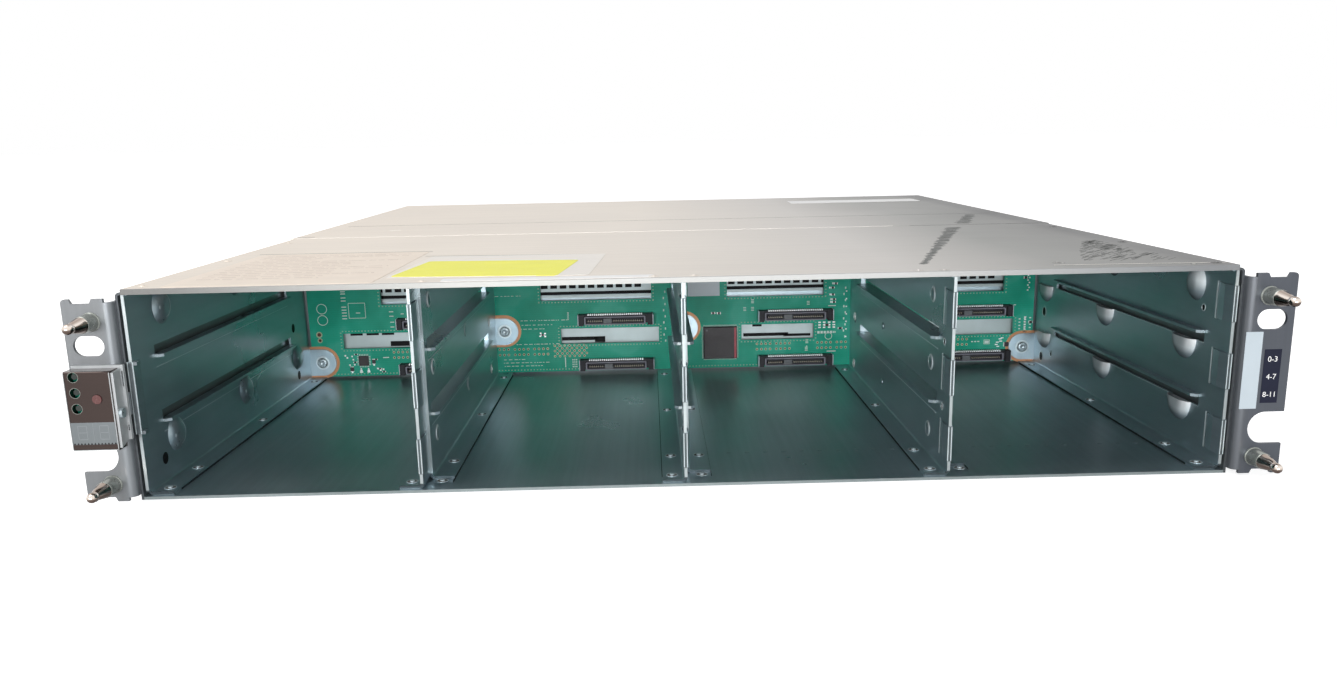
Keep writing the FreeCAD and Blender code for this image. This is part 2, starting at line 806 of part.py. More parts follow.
def module_shelf():
    """Shelf between the two module bays, folded down at both sides."""
    half = rear_wall_x - rear_sheet - seat_gap
    top = (body_height + rear_sheet) / 2
    path = [(-half, top - shelf_flange), (-half, top), (half, top), (half, top - shelf_flange)]
    start = bulkhead_rear_y + seat_gap
    shelf = folded_sheet(path, -rear_sheet, fold_radius, in_xz, V(0, rear_end_y - start, 0))
    shelf.translate(V(0, start, 0))
    return shelf


# ================================================================ ears
def ear_plate():
    """Front plate of the right ear, with a shallow relief at top and bottom."""
    fold_x = leg_outer_x + ear_fold_radius
    half_deep = ear_relief_depth / 2
    outer = ear_outer_x - ear_relief_inset
    inner = outer - ear_relief_width
    lower = [(fold_x, 0, 0), (inner, 0, 0), (inner + half_deep, ear_relief_depth, 0),
             (outer - half_deep, ear_relief_depth, 0), (outer, 0, 0), (ear_outer_x, 0, ear_corner)]
    points = [V(x, ear_front_y, ear_bottom_z + rise) for x, rise, radius in lower]
    points += [V(x, ear_front_y, ear_top_z - rise) for x, rise, radius in reversed(lower)]
    radii = [radius for x, rise, radius in lower]
    radii += radii[::-1]
    middle = (points[0] + points[-1]) * 0.5
    edges = rounded_edges([middle] + points + [middle], radii)
    return Part.Face(Part.Wire(edges)).extrude(V(0, ear_sheet, 0))


def rack_openings():
    """Closed slot and open notch that the rack screws pass through."""
    middle_y = ear_front_y + ear_sheet / 2
    slot = slot_cut(V(slot_x, middle_y, rack_slot_z), rack_slot_length, rack_slot_height, ear_sheet * 3)
    notch_length = rack_notch_depth * 2
    notch_centre = V(ear_outer_x, middle_y, notch_z)
    notch = slot_cut(notch_centre, notch_length, rack_notch_height, ear_sheet * 3)
    return [slot, notch]


def ear_leg():
    """Fold and leg of the right ear, as one bent strip."""
    plate_x = leg_outer_x + ear_fold_radius + ear_sheet
    path = [(half_width, ear_leg_length), (half_width, ear_front_y), (plate_x, ear_front_y)]
    low_z = ear_bottom_z + ear_leg_inset
    height = ear_top_z - ear_leg_inset - low_z
    leg = folded_sheet(path, ear_sheet, ear_fold_radius, in_xy, V(0, 0, height))
    leg.translate(V(0, 0, low_z))
    return leg


def rack_ear():
    """Right ear with its rack openings."""
    return one_solid(ear_plate().fuse(ear_leg()).cut(rack_openings()))


def panel_ear():
    """Left ear, drawn as a right one: open beside the panel, with a lug across."""
    low = panel_opening_centre_z - panel_opening_height / 2
    high = panel_opening_centre_z + panel_opening_height / 2
    reach = leg_outer_x + ear_fold_radius
    y_range = (ear_front_y - ear_sheet, panel_opening_depth)
    opening = box((half_width - ear_sheet, reach), y_range, (low, high))
    lug = box((bracket_inner_x, reach + ear_sheet), (ear_front_y, ear_rear_y),
              (lug_centre_z - lug_height / 2, lug_centre_z + lug_height / 2))
    return one_solid(rack_ear().cut(opening).fuse(lug))


def bezel_stud(x, z):
    """Ball stud that a clip-on bezel grips, pressed onto the ear's front."""
    shank_end = stud_collar_length + stud_shank_length
    ball_middle = stud_length - stud_ball_radius
    half_ball = stud_ball_radius / 2
    root = V(x, ear_front_y, z)
    forwards = V(0, -1, 0)
    collar_profile = [(0, stud_collar_radius), (stud_collar_length, stud_collar_radius)]
    collar = faceted(collar_profile, root, forwards, stud_sides)
    shank = rod(stud_shank_radius, root + forwards * stud_collar_length, root + forwards * shank_end)
    tip_profile = [(shank_end, stud_cone_radius), (ball_middle - stud_ball_radius, stud_neck_radius),
                   (ball_middle - half_ball, stud_ball_radius), (ball_middle + half_ball, stud_ball_radius),
                   (stud_length, stud_neck_radius)]
    return one_solid(collar.fuse([shank, faceted(tip_profile, root, forwards, stud_sides)]))


# ================================================================ status panel
# Drawn on the right like the ear, and mirrored to the left when written.
def panel_housing():
    """Plated cap over the panel: lamp holes, button hole and display window."""
    outer = box((panel_inner_x, panel_outer_x), (panel_front_y, bracket_front_y),
                (panel_bottom_z, panel_top_z))
    front_edges = [edge for edge in outer.Edges if edge.BoundBox.YMax < panel_front_y + panel_wall]
    outer = outer.makeFillet(panel_edge_radius, front_edges)
    inner = box((panel_inner_x + panel_wall, panel_outer_x - panel_wall),
                (panel_front_y + panel_wall, bracket_front_y),
                (panel_bottom_z + panel_wall, panel_top_z - panel_wall))
    before = V(0, -panel_wall, 0)
    through = V(0, panel_wall * 2, 0)
    tools = [inner, display_window(), screw_hole()]
    for z in led_zs:
        centre = V(led_x, panel_front_y, z)
        tools.append(rod(led_hole_radius, centre + before, centre + through))
    centre = V(button_x, panel_front_y, button_z)
    tools.append(rod(button_radius + button_clearance, centre + before, centre + through))
    return outer.cut(tools)


def display_window():
    """Grey lens that fills the opening in the housing."""
    x_range = (panel_inner_x + window_side_wall, panel_outer_x - window_side_wall)
    return box(x_range, (panel_front_y, panel_front_y + panel_wall), (window_low_z, window_high_z))


def id_display():
    """Two-digit display module behind the lens."""
    x_range = (panel_inner_x + panel_wall + display_margin, panel_outer_x - panel_wall - display_margin)
    front = panel_front_y + panel_wall + display_margin
    return box(x_range, (front, panel_board_front_y), (window_low_z, window_high_z))


def panel_board():
    """Small circuit board at the back of the housing."""
    inset = panel_wall + panel_board_clearance
    return box((panel_inner_x + inset, panel_outer_x - inset), (panel_board_front_y, bracket_front_y),
               (panel_bottom_z + inset, panel_top_z - inset))


def status_light_pipes():
    """Three clear rods that carry the lamps' light to the front."""
    start_y = panel_front_y + led_recess
    return [peg(light_pipe_radius, V(led_x, start_y, z), panel_board_front_y - start_y) for z in led_zs]


def id_button():
    """Round push button with a flange that keeps it in the housing."""
    flange_start = panel_wall + button_seat_gap
    flange_end = flange_start + button_flange_thickness
    switch_front = panel_board_front_y - switch_height - switch_plunger_height
    stem_end = switch_front - panel_front_y - button_travel - switch_gap
    wide = button_radius + button_flange
    profile = [(0, -button_proud), (button_radius, -button_proud), (button_radius, flange_start),
               (wide, flange_start), (wide, flange_end), (button_stem_radius, flange_end),
               (button_stem_radius, stem_end), (0, stem_end)]
    return turned(profile, V(button_x, panel_front_y, button_z), 1)


def button_switch():
    """Surface-mount switch that the button presses."""
    half = switch_size / 2
    front = panel_board_front_y - switch_height
    body = box((button_x - half, button_x + half), (front, panel_board_front_y),
               (button_z - half, button_z + half))
    plunger = rod(switch_plunger_radius, V(button_x, front - switch_plunger_height, button_z),
                  V(button_x, front, button_z))
    return one_solid(body.fuse(plunger))


def screw_seat():
    """Point where the head of the panel's screw meets the bracket's tab."""
    return V(panel_inner_x - bracket_tab_thickness, panel_screw_y, panel_screw_z)


def screw_hole():
    """Hole of the panel's screw through the tab and the side of the housing."""
    end = bracket_tab_thickness + panel_wall * 2
    profile = [(-panel_wall, panel_screw_radius), (end, panel_screw_radius)]
    return faceted(profile, screw_seat(), V(1, 0, 0), small_sides)


def panel_bracket():
    """Pale plate that carries the housing on the ear, with a tab beside it."""
    plate = box((bracket_inner_x, panel_outer_x), (bracket_front_y, ear_front_y),
                (bracket_bottom_z, bracket_top_z))
    margin = bracket_opening_margin
    opening = box((panel_inner_x + margin, panel_outer_x - margin),
                  (bracket_front_y - margin, ear_front_y + margin),
                  (button_z - margin, panel_top_z - margin))
    tab_x = panel_inner_x - bracket_tab_thickness
    front_y = panel_front_y + panel_edge_radius
    tab = flat_face([V(tab_x, front_y, panel_bottom_z + panel_edge_radius),
                     V(tab_x, ear_front_y, panel_bottom_z + panel_edge_radius + bracket_tab_slope),
                     V(tab_x, ear_front_y, panel_top_z), V(tab_x, front_y, panel_top_z - panel_edge_radius)])
    tab = tab.extrude(V(bracket_tab_thickness, 0, 0))
    low = panel_opening_centre_z - panel_opening_height / 2 + seat_gap
    high = panel_opening_centre_z + panel_opening_height / 2 - seat_gap
    lip = box((half_width + seat_gap, leg_outer_x), (ear_front_y, panel_opening_depth - seat_gap),
              (low, high))
    lug_space = box((bracket_inner_x, panel_outer_x), (ear_front_y, ear_rear_y + seat_gap),
                    (lug_centre_z - lug_height / 2 - seat_gap, lug_centre_z + lug_height / 2 + seat_gap))
    half = bracket_slit_width / 2
    slit_x = (bracket_slit_x - half, bracket_slit_x + half)
    slits = [box(slit_x, (bracket_front_y - margin, ear_front_y), z_range)
             for z_range in bracket_slits]
    return one_solid(plate.cut(opening).fuse([tab, lip.cut(lug_space)]).cut(slits + [screw_hole()]))


def panel_screw():
    """Screw that holds the housing to the bracket's tab."""
    reach = bracket_tab_thickness + panel_wall + panel_screw_end
    profile = [(-panel_screw_head_height, panel_screw_head_radius), (0, panel_screw_head_radius),
               (0, panel_screw_radius), (reach, panel_screw_radius)]
    return faceted(profile, screw_seat(), V(1, 0, 0), small_sides)


# ================================================================ assembly
def build():
    """Make every node and write it to its own file."""
    os.makedirs("parts", exist_ok=True)
    write("base_pan", [base_pan()])
    panel = side_panel()
    write("side_panel_right", [panel])
    write("side_panel_left", [mirrored(panel)])
    write("top_cover_front", [top_cover_front()])
    write("top_cover_rear", [top_cover_rear()])
    write("inner_wall_left", [inner_wall_left()])
    write("inner_wall_right", [inner_wall_right()])
    for number, x in enumerate(divider_xs, start=1):
        write("divider_%d_left_sheet" % number, [divider_left_sheet(x)])
        write("divider_%d_right_sheet" % number, [divider_right_sheet(x)])
    clips = [emi_clip(x, -1, z) for x in divider_xs + [wall_back_x] for z in clip_zs]
    write("emi_clips", clips)
    write("cable_edge_guard", [cable_edge_guard()])

    write("midplane_board", [midplane_board()])
    write("midplane_bulkhead", [midplane_bulkhead()])
    write("midplane_screws", [midplane_screw(place) for place in tab_places()])
    write("midplane_standoffs", [standoff(place) for place in tab_places()])
    number = 0
    for z in reversed(connector_zs):
        for centre in bay_centres:
            write("drive_connector_%02d" % number, [drive_connector(centre, z)])
            number += 1
    for name, (centre, width) in module_connectors().items():
        write(name, [module_connector(centre, width)])
    write("expander_chip", [board_chip(bay_centres[expander_column], expander_place, expander_size)])
    write("monitor_chip", [board_chip(bay_centres[monitor_column], monitor_place, monitor_size)])

    divider = rear_divider()
    write("rear_divider_right", [divider])
    write("rear_divider_left", [mirrored(divider)])
    write("module_shelf", [module_shelf()])

    write("rack_ear_right", [rack_ear()])
    write("rack_ear_left", [mirrored(panel_ear())])
    write("bezel_studs", [bezel_stud(side * stud_x, z) for side in (-1, 1) for z in stud_zs])

    write("panel_housing", [mirrored(panel_housing())])
    write("panel_bracket", [mirrored(panel_bracket())])
    write("panel_board", [mirrored(panel_board())])
    write("display_window", [mirrored(display_window())])
    write("id_display", [mirrored(id_display())])
    write("status_light_pipes", [mirrored(pipe) for pipe in status_light_pipes()])
    write("id_button", [mirrored(id_button())])
    write("button_switch", [mirrored(button_switch())])
    write("panel_screw", [mirrored(panel_screw())])


build()
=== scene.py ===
"""Looks of an empty 2U disk shelf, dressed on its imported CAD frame.

Lengths in the functions below are millimetres in the row frame: X right, Y back, Z up.
Lengths inside shader nodes are metres.
"""
import math
import random
from itertools import product

import bmesh
import bpy
from mathutils import Matrix, Vector


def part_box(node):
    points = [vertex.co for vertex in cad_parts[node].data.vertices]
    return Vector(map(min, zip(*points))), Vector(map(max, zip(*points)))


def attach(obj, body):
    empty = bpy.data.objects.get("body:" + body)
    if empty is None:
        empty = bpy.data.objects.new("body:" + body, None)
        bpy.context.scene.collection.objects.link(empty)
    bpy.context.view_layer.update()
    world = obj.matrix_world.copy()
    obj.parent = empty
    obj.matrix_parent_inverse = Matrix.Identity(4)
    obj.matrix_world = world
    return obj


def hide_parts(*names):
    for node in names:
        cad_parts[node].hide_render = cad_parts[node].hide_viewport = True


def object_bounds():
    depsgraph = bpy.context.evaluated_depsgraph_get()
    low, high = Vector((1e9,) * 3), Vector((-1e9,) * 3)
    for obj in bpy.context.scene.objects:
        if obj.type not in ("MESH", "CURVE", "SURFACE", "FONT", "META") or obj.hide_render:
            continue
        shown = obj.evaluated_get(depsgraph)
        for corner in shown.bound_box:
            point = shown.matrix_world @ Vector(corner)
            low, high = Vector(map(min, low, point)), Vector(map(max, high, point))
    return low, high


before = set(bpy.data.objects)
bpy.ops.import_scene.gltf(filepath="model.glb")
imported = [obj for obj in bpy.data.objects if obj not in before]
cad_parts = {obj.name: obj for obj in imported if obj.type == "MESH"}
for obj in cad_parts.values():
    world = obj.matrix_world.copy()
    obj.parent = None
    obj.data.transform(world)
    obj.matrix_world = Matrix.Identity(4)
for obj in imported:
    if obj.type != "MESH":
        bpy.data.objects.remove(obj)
cad_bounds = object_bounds()
MM = 0.001


def node_box(name):
    """Lowest and highest corners of a CAD node, in millimetres."""
    low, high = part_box(name)
    return low / MM, high / MM


def connector_box(row, bay):
    """Box of a drive socket; row 0 is the top one."""
    return node_box("drive_connector_%02d" % (row * 4 + bay))


def middle(low, high):
    return (low + high) / 2


# -------- places
UP, TO_FRONT, SIDES = (0, 0, 1), (0, -1, 0), (-1, 1)
SHEET = 1.2                      # gauge of the pan, the inner walls and the dividers
CONNECTOR_OFFSET = 19.3          # from a bay's middle to its sockets' middle
ROW_PITCH = 27.5                 # from one row of bays to the next
WALL_FACE = 218.6                # |X| of the bay side of the two inner walls
SCOOP_DROP = 5.2                 # top of a scoop below the top of its ledge
SCOOP_RADIUS = 9.8
DOME_RADIUS = 7.5
DOME_DEPTHS, DOME_HEIGHTS = (30, 112, 194), (20, 75)
CLINCH_DEPTHS = (8, 36, 118, 205)
CLIP_RISE = 14.1                 # middle of a spring clip above its row's floor
SCREW_RADIUS = 3               # of the midplane's screws
TAB_OFFSET = 6.6                 # from a divider to the screw of its tab
BOARD_INK = 0.04                 # thickness of the ink on the board
# Left and right ends of the board's windows, from the middle of each bay.
HIGH_WINDOWS = [(-12.5, 40.5), (-25.2, 40.9), (-21.6, 36.6), (-32, 37.5)]
LOW_WINDOWS = [(-36.5, 44.5), (-13.9, 45), (-12.9, 30.7), (-38.5, 44)]

cover_low, cover_high = node_box("top_cover_front")
bay_front_y, cover_top = cover_low.y, cover_high.z
board_y = node_box("midplane_board")[0].y
floor_z = node_box("base_pan")[0].z + SHEET
scoop_tops = [floor_z + row * ROW_PITCH - SCOOP_DROP for row in (1, 2)]
clip_zs = [floor_z + row * ROW_PITCH + CLIP_RISE for row in range(3)]
bay_xs = [middle(*connector_box(0, bay)).x - CONNECTOR_OFFSET for bay in range(4)]
divider_xs = [middle(*pair) for pair in zip(bay_xs, bay_xs[1:])]


def deep(distance):
    """Y of a place at a distance behind the front edge of the cover."""
    return bay_front_y + distance


def on_board(bay, across, up):
    """Point on the front of the midplane board, from the middle of a bay."""
    return Vector((bay_xs[bay] + across, board_y, up))


def screw_places():
    """X, Z, side of the bay and reach to the sheet of the midplane's five screws."""
    low, high = node_box("midplane_screws")
    wall_reach = 8.8
    return [(low.x + SCREW_RADIUS, low.z + SCREW_RADIUS, 1, wall_reach),
            (high.x - SCREW_RADIUS, low.z + SCREW_RADIUS, -1, wall_reach),
            *((x + TAB_OFFSET, high.z - SCREW_RADIUS, 1, TAB_OFFSET) for x in divider_xs)]


# -------- shader nodes
looks = {}


def rgba(colour):
    """Colour with its alpha; one number stands for a grey."""
    return (*colour, 1) if isinstance(colour, tuple) else (colour, colour, colour, 1)


def feed(tree, socket, value):
    """Link an output to an input, or set the input's own value."""
    if isinstance(value, bpy.types.NodeSocket):
        tree.links.new(value, socket)
    else:
        socket.default_value = value


def add(tree, kind, values=None, **settings):
    """New node: settings are its own, values go to its inputs."""
    node = tree.nodes.new("ShaderNode" + kind)
    for key, value in settings.items():
        setattr(node, key, value)
    for key, value in (values or {}).items():
        feed(tree, node.inputs[key], value)
    return node


def new_look(name, metallic=0, coat=0, specular=0.5):
    """Node tree of a new material, which looks holds by its name."""
    looks[name] = bpy.data.materials.new(name)
    looks[name].use_nodes = True
    tree = looks[name].node_tree
    shader = tree.nodes["Principled BSDF"].inputs
    for key, value in (("Metallic", metallic), ("Coat Weight", coat), ("Specular IOR Level", specular)):
        shader[key].default_value = value
    return tree


def axes(tree, space="Object"):
    """X, Y and Z of the part's own coordinates, or of its normal."""
    return add(tree, "SeparateXYZ", {"Vector": add(tree, "TexCoord").outputs[space]}).outputs


def noise(tree, scale, stretch=(1, 1, 1), detail=3):
    """Noise over the part; stretch squeezes it along each axis."""
    mapping = add(tree, "Mapping", {"Vector": add(tree, "TexCoord").outputs["Object"], "Scale": stretch})
    values = {"Vector": mapping.outputs["Vector"], "Scale": scale, "Detail": detail}
    return add(tree, "TexNoise", values).outputs["Fac"]


def ramp(tree, factor, stops):
    """Colour ramp over a factor; stops are colours by position."""
    node = add(tree, "ValToRGB", {"Fac": factor})
    elements = node.color_ramp.elements
    while len(elements) < len(stops):
        elements.new(0.5)
    for element, (position, colour) in zip(elements, stops.items()):
        element.position = position
        element.color = rgba(colour)
    return node.outputs["Color"]


def remap(tree, factor, source, target=(0, 1)):
    """Factor carried from one range to another."""
    limits = zip(("From Min", "From Max", "To Min", "To Max"), source + target)
    return add(tree, "MapRange", {"Value": factor, **dict(limits)}).outputs["Result"]


def blended(tree, factor, first, second, kind="MIX"):
    """Two colours mixed by a factor."""
    node = add(tree, "Mix", data_type="RGBA", blend_type=kind)
    feed(tree, node.inputs["Factor"], factor)
    sockets = [socket for socket in node.inputs if socket.type == "RGBA"]
    for socket, colour in zip(sockets, (first, second)):
        feed(tree, socket, colour if isinstance(colour, bpy.types.NodeSocket) else rgba(colour))
    return [socket for socket in node.outputs if socket.type == "RGBA"][0]


def multiplied(tree, first, second, amount=1):
    return blended(tree, amount, first, second, "MULTIPLY")


def dress(tree, colour, gloss, roughness, height, strength, depth=0.00002):
    """Give a material its colour, its roughness between two limits and its relief."""
    bump = add(tree, "Bump", {"Height": height, "Strength": strength, "Distance": depth})
    shader = tree.nodes["Principled BSDF"].inputs
    feed(tree, shader["Base Color"], colour)
    feed(tree, shader["Roughness"], remap(tree, gloss, (0.3, 0.7), roughness))
    feed(tree, shader["Normal"], bump.outputs["Normal"])


def scaled(colour, factor):
    """Colour made lighter or darker."""
    return tuple(min(1, channel * factor) for channel in colour)


# -------- materials
def surface(name, colour, metallic, roughness, mottle=0.08, blotch=60, grain=900, bump=0.08, **gloss):
    """General finish: mottled colour, uneven gloss and a fine grain."""
    tree = new_look(name, metallic, **gloss)
    rough_spread, smoothest = 0.06, 0.02
    shades = {0.3: scaled(colour, 1 - mottle), 0.7: scaled(colour, 1 + mottle)}
    tone = ramp(tree, noise(tree, blotch), shades)
    fine = noise(tree, grain)
    limits = (max(smoothest, roughness - rough_spread), roughness + rough_spread)
    dress(tree, tone, fine, limits, fine, bump, 0.00003)


def front_edges(tree, tone, edge_tone):
    """Give the cut edges that face the front of the part their own tone."""
    end = bay_front_y * MM + 0.022
    near = remap(tree, axes(tree)["Y"], (end, end + 0.001), (1, 0))
    ahead = remap(tree, axes(tree, "Normal")["Y"], (-0.9, -0.7), (1, 0))
    return blended(tree, near, tone, blended(tree, ahead, tone, edge_tone))


def zinc_sheet():
    """Zinc-plated sheet with a blue-green passivation, rolled marks, faint stains and painted shade on the
    floor.
    """
    tree = new_look("zinc_sheet", 0.88)
    place = axes(tree)
    rolled = noise(tree, 420, (1, 0.03, 0.4))
    clouds = noise(tree, 14, detail=4)
    tone = ramp(tree, clouds, {0.3: (0.36, 0.45, 0.5), 0.7: (0.47, 0.56, 0.61)})
    # Front edges: bright lip of the pan, painted shade on the toes of its flanges, then bright upright
    # edges.
    toe_shade = (0.07, 0.09, 0.1)
    height = remap(tree, place["Z"], (0, 0.004))
    edge_tone = ramp(tree, height, {0.29: (0.34, 0.39, 0.395), 0.32: toe_shade, 0.94: toe_shade, 1: (0.44, 0.49, 0.5)})
    tone = front_edges(tree, tone, edge_tone)
    # Painted shade: the floor darkens towards the board, deep in the bays.
    on_floor = remap(tree, place["Z"], (0.0013, 0.0016), (1, 0))
    depth = remap(tree, place["Y"], (-0.14, board_y * MM))
    depth_shade = ramp(tree, depth, {0: 1, 1: (0.52, 0.6, 0.6)})
    tone = multiplied(tree, tone, blended(tree, on_floor, 1, depth_shade))
    streaks = ramp(tree, rolled, {0.35: (0.92, 0.93, 0.93), 0.65: 1})
    dress(tree, multiplied(tree, tone, streaks), clouds, (0.26, 0.4), rolled, 0.06)


def edged_sheet(name, colour, edge_tone, metallic, roughness):
    """Plain plated sheet whose cut front edges have their own tone."""
    tree = new_look(name, metallic)
    grain = noise(tree, 700, (1, 0.05, 1))
    streaks = ramp(tree, grain, {0.35: 0.93, 0.65: 1})
    tone = multiplied(tree, front_edges(tree, colour, edge_tone), streaks)
    dress(tree, tone, grain, (roughness - 0.05, roughness + 0.05), grain, 0.04)


def cover_sheet():
    """Pale plated cover with painted reflection: warm and cream on the left, darker and cooler to the right,
    its lip darker towards both ends; with handling marks.
    """
    tree = new_look("cover_sheet", 0.35)
    place = axes(tree)
    across = remap(tree, place["X"], (-0.22, 0.22))
    # Painted reflection across the cover: bright and warm on the left, dark on the right.
    tone = ramp(tree, across, {0: (0.78, 0.7, 0.61), 0.45: (0.75, 0.69, 0.62), 0.7: (0.56, 0.535, 0.51),
                               0.85: (0.27, 0.27, 0.26), 0.96: (0.19, 0.19, 0.185), 0.98: 0.13})
    front = bay_front_y * MM
    lip = remap(tree, place["Y"], (front + 0.0002, front + 0.0012))
    # Painted light on the front lip: darker towards both ends.
    painted_lip_light = ramp(tree, across, {0.05: (0.19, 0.19, 0.185), 0.3: (0.45, 0.455, 0.44),
                                   0.7: (0.45, 0.455, 0.45), 0.95: (0.235, 0.245, 0.255)})
    rolled = noise(tree, 260, (0.04, 1, 1))
    clouds = noise(tree, 9, detail=5)
    streaks = ramp(tree, rolled, {0.3: 0.95, 0.7: 1})
    stains = ramp(tree, clouds, {0.35: (0.94, 0.93, 0.92), 0.6: 1})
    tone = multiplied(tree, multiplied(tree, blended(tree, lip, painted_lip_light, tone), streaks), stains)
    dress(tree, tone, clouds, (0.38, 0.52), rolled, 0.05)


def ear_sheet():
    """Plated ear sheet with a vertical grain and painted light: the left ear lighter than the right, each
    bend brighter as a highlight.
    """
    tree = new_look("ear_sheet", 0.55)
    across = remap(tree, axes(tree)["X"], (-0.2413, 0.2413))
    # Painted light: ears lighter on the left than on the right, a brighter band on each bend as a highlight.
    tone = ramp(tree, across, {0.03: (0.215, 0.225, 0.235), 0.036: (0.26, 0.28, 0.3),
                               0.964: (0.13, 0.14, 0.155), 0.97: (0.1, 0.11, 0.13)})
    grain = noise(tree, 700, (1, 1, 0.04))
    streaks = ramp(tree, grain, {0.3: 0.93, 0.7: 1})
    dress(tree, multiplied(tree, tone, streaks), noise(tree, 40), (0.3, 0.42), grain, 0.05)


def polished_nickel():
    """Polished plating with a painted reflection: dark and brown on its lower side as of a dark bench below,
    bright above.
    """
    tree = new_look("nickel", 1)
    upward = remap(tree, axes(tree, "Normal")["Z"], (-1, 1))
    # Painted reflection by the way each face turns: dark below, bright above.
    tone = ramp(tree, upward, {0.15: (0.16, 0.11, 0.09), 0.42: (0.2, 0.15, 0.13), 0.56: (0.86, 0.74, 0.64),
                               0.8: (0.9, 0.82, 0.75), 0.95: (0.42, 0.34, 0.29)})
    smears = noise(tree, 500)
    dress(tree, tone, smears, (0.1, 0.18), smears, 0.03)


def painted_light_finish(name, top, reach):
    """Zinc of pressed forms with painted light: brightest at their top, painted shade towards their lower
    edge, flanks facing the front brighter.
    """
    tree = new_look(name, 0.25)
    highest = top + 0.1
    limits = {0: axes(tree)["Z"], 1: highest * MM, 2: (highest - ROW_PITCH) * MM}
    wrapped = add(tree, "Math", limits, operation="WRAP")
    below = remap(tree, wrapped.outputs["Value"], ((top - reach) * MM, top * MM), (1, 0))
    # Painted light: bright at the top of each form, painted shade towards its lower edge.
    tone = ramp(tree, below, {0: (0.97, 0.99, 1), 0.4: (0.84, 0.9, 0.92),
                              0.7: (0.27, 0.33, 0.36), 0.95: (0.11, 0.14, 0.16)})
    towards_front = remap(tree, axes(tree, "Normal")["Y"], (-1, 1), (1, 0))
    # Painted highlight on the flanks that face the front.
    flank_highlight = ramp(tree, towards_front, {0.42: (0.25, 0.28, 0.3), 0.52: (0.6, 0.62, 0.63), 0.68: 1})
    brushed = noise(tree, 300, (1, 1, 0.1))
    dress(tree, multiplied(tree, tone, flank_highlight), brushed, (0.3, 0.42), brushed, 0.03)


def solder_mask():
    """Green solder mask with cloudy copper fills and fine traces under it."""
    tree = new_look("solder_mask", coat=0.03, specular=0.25)
    fills = noise(tree, 45, detail=2)
    upright = add(tree, "Mapping", {"Vector": add(tree, "TexCoord").outputs["Object"],
                                    "Rotation": (math.pi / 2, 0, 0)})
    bricks = add(tree, "TexBrick", {"Vector": upright.outputs["Vector"], "Scale": 1, "Brick Width": 0.011,
                                    "Row Height": 0.0013, "Mortar Size": 0.00022, "Color1": rgba(1),
                                    "Color2": rgba(0.96), "Mortar": rgba((0.86, 0.88, 0.86))})
    traces = bricks.outputs["Color"]
    greens = {0.4: (0.005, 0.33, 0.215), 0.55: (0.012, 0.39, 0.26), 0.62: (0.04, 0.44, 0.31)}
    tone = multiplied(tree, ramp(tree, fills, greens), traces, 0.6)
    dress(tree, tone, fills, (0.3, 0.42), traces, 0.15, 0.00003)


# Name, colour, metallic and roughness; for edged sheets the tone of their edges comes third.
zinc_sheet()
cover_sheet()
ear_sheet()
polished_nickel()
solder_mask()
edged_sheet("side_sheet", (0.24, 0.27, 0.28), (0.1, 0.11, 0.12), 0.7, 0.35)
edged_sheet("spring_strip", (0.4, 0.49, 0.54), (0.1, 0.12, 0.13), 0.85, 0.33)
edged_sheet("edge_guard", (0.34, 0.42, 0.46), (0.22, 0.25, 0.27), 0.85, 0.35)
painted_light_finish("scoop_painted_light", scoop_tops[0], SCOOP_RADIUS)
painted_light_finish("dome_painted_light", DOME_HEIGHTS[1] + DOME_RADIUS, 2 * DOME_RADIUS)
surface("pressed_zinc", (0.36, 0.45, 0.49), 0.85, 0.33, mottle=0.03, bump=0.01)
surface("screw_plating", (0.42, 0.49, 0.52), 0.6, 0.3)
# Painted highlights: glints on the domes, lines on ledge slot rims, rings on clinches.
surface("painted_highlight", (0.62, 0.72, 0.76), 0.4, 0.35, mottle=0.04)
# Bright steel, also painted highlights on slot rims, clip folds and hole rims.
surface("bright_steel_and_highlights", (0.62, 0.7, 0.72), 0.5, 0.35)
surface("window_steel", (0.52, 0.6, 0.61), 0.3, 0.45)
surface("stud_collar", (0.36, 0.38, 0.35), 0.8, 0.3, mottle=0.04)
surface("brass", (0.72, 0.58, 0.3), 1, 0.3)
surface("bronze_mirror", (0.072, 0.052, 0.047), 0.7, 0.12, mottle=0.06)
surface("bare_copper", (0.66, 0.32, 0.16), 0.25, 0.45)
surface("worn_gold", (0.42, 0.38, 0.31), 0.3, 0.4)
# Tin of pads and pins, also painted highlights on the eyelet rims of the sheets.
surface("tin_and_highlights", (0.93, 0.95, 0.93), 0.3, 0.3)
surface("via_plating", (0.42, 0.5, 0.33), 0.3, 0.4)
surface("via_hole_shade", (0.12, 0.05, 0.04), 0, 0.6, specular=0.2)
surface("step_shadow", (0.02, 0.03, 0.032), 0, 0.5, specular=0.2)
surface("masked_dots", (0.28, 0.5, 0.36), 0, 0.4)
surface("board_ink", (0.66, 0.8, 0.75), 0, 0.6)
surface("socket_plastic", (0.016, 0.016, 0.022), 0, 0.55, specular=0.35)
surface("rim_plastic", (0.22, 0.22, 0.27), 0, 0.45)
surface("grey_plastic", (0.1, 0.11, 0.12), 0, 0.4)
surface("chip_package", (0.034, 0.028, 0.031), 0, 0.5, blotch=300)
surface("red_stripe", (0.42, 0.05, 0.07), 0, 0.4)
# Pale plate of the bracket, also painted highlights on the edges of the panel housing.
surface("pale_plate_and_highlights", (0.44, 0.46, 0.47), 0.3, 0.4)
surface("display_lens", (0.155, 0.175, 0.185), 0, 0.35, coat=0.1)
surface("faint_digit", (0.21, 0.23, 0.24), 0, 0.35)
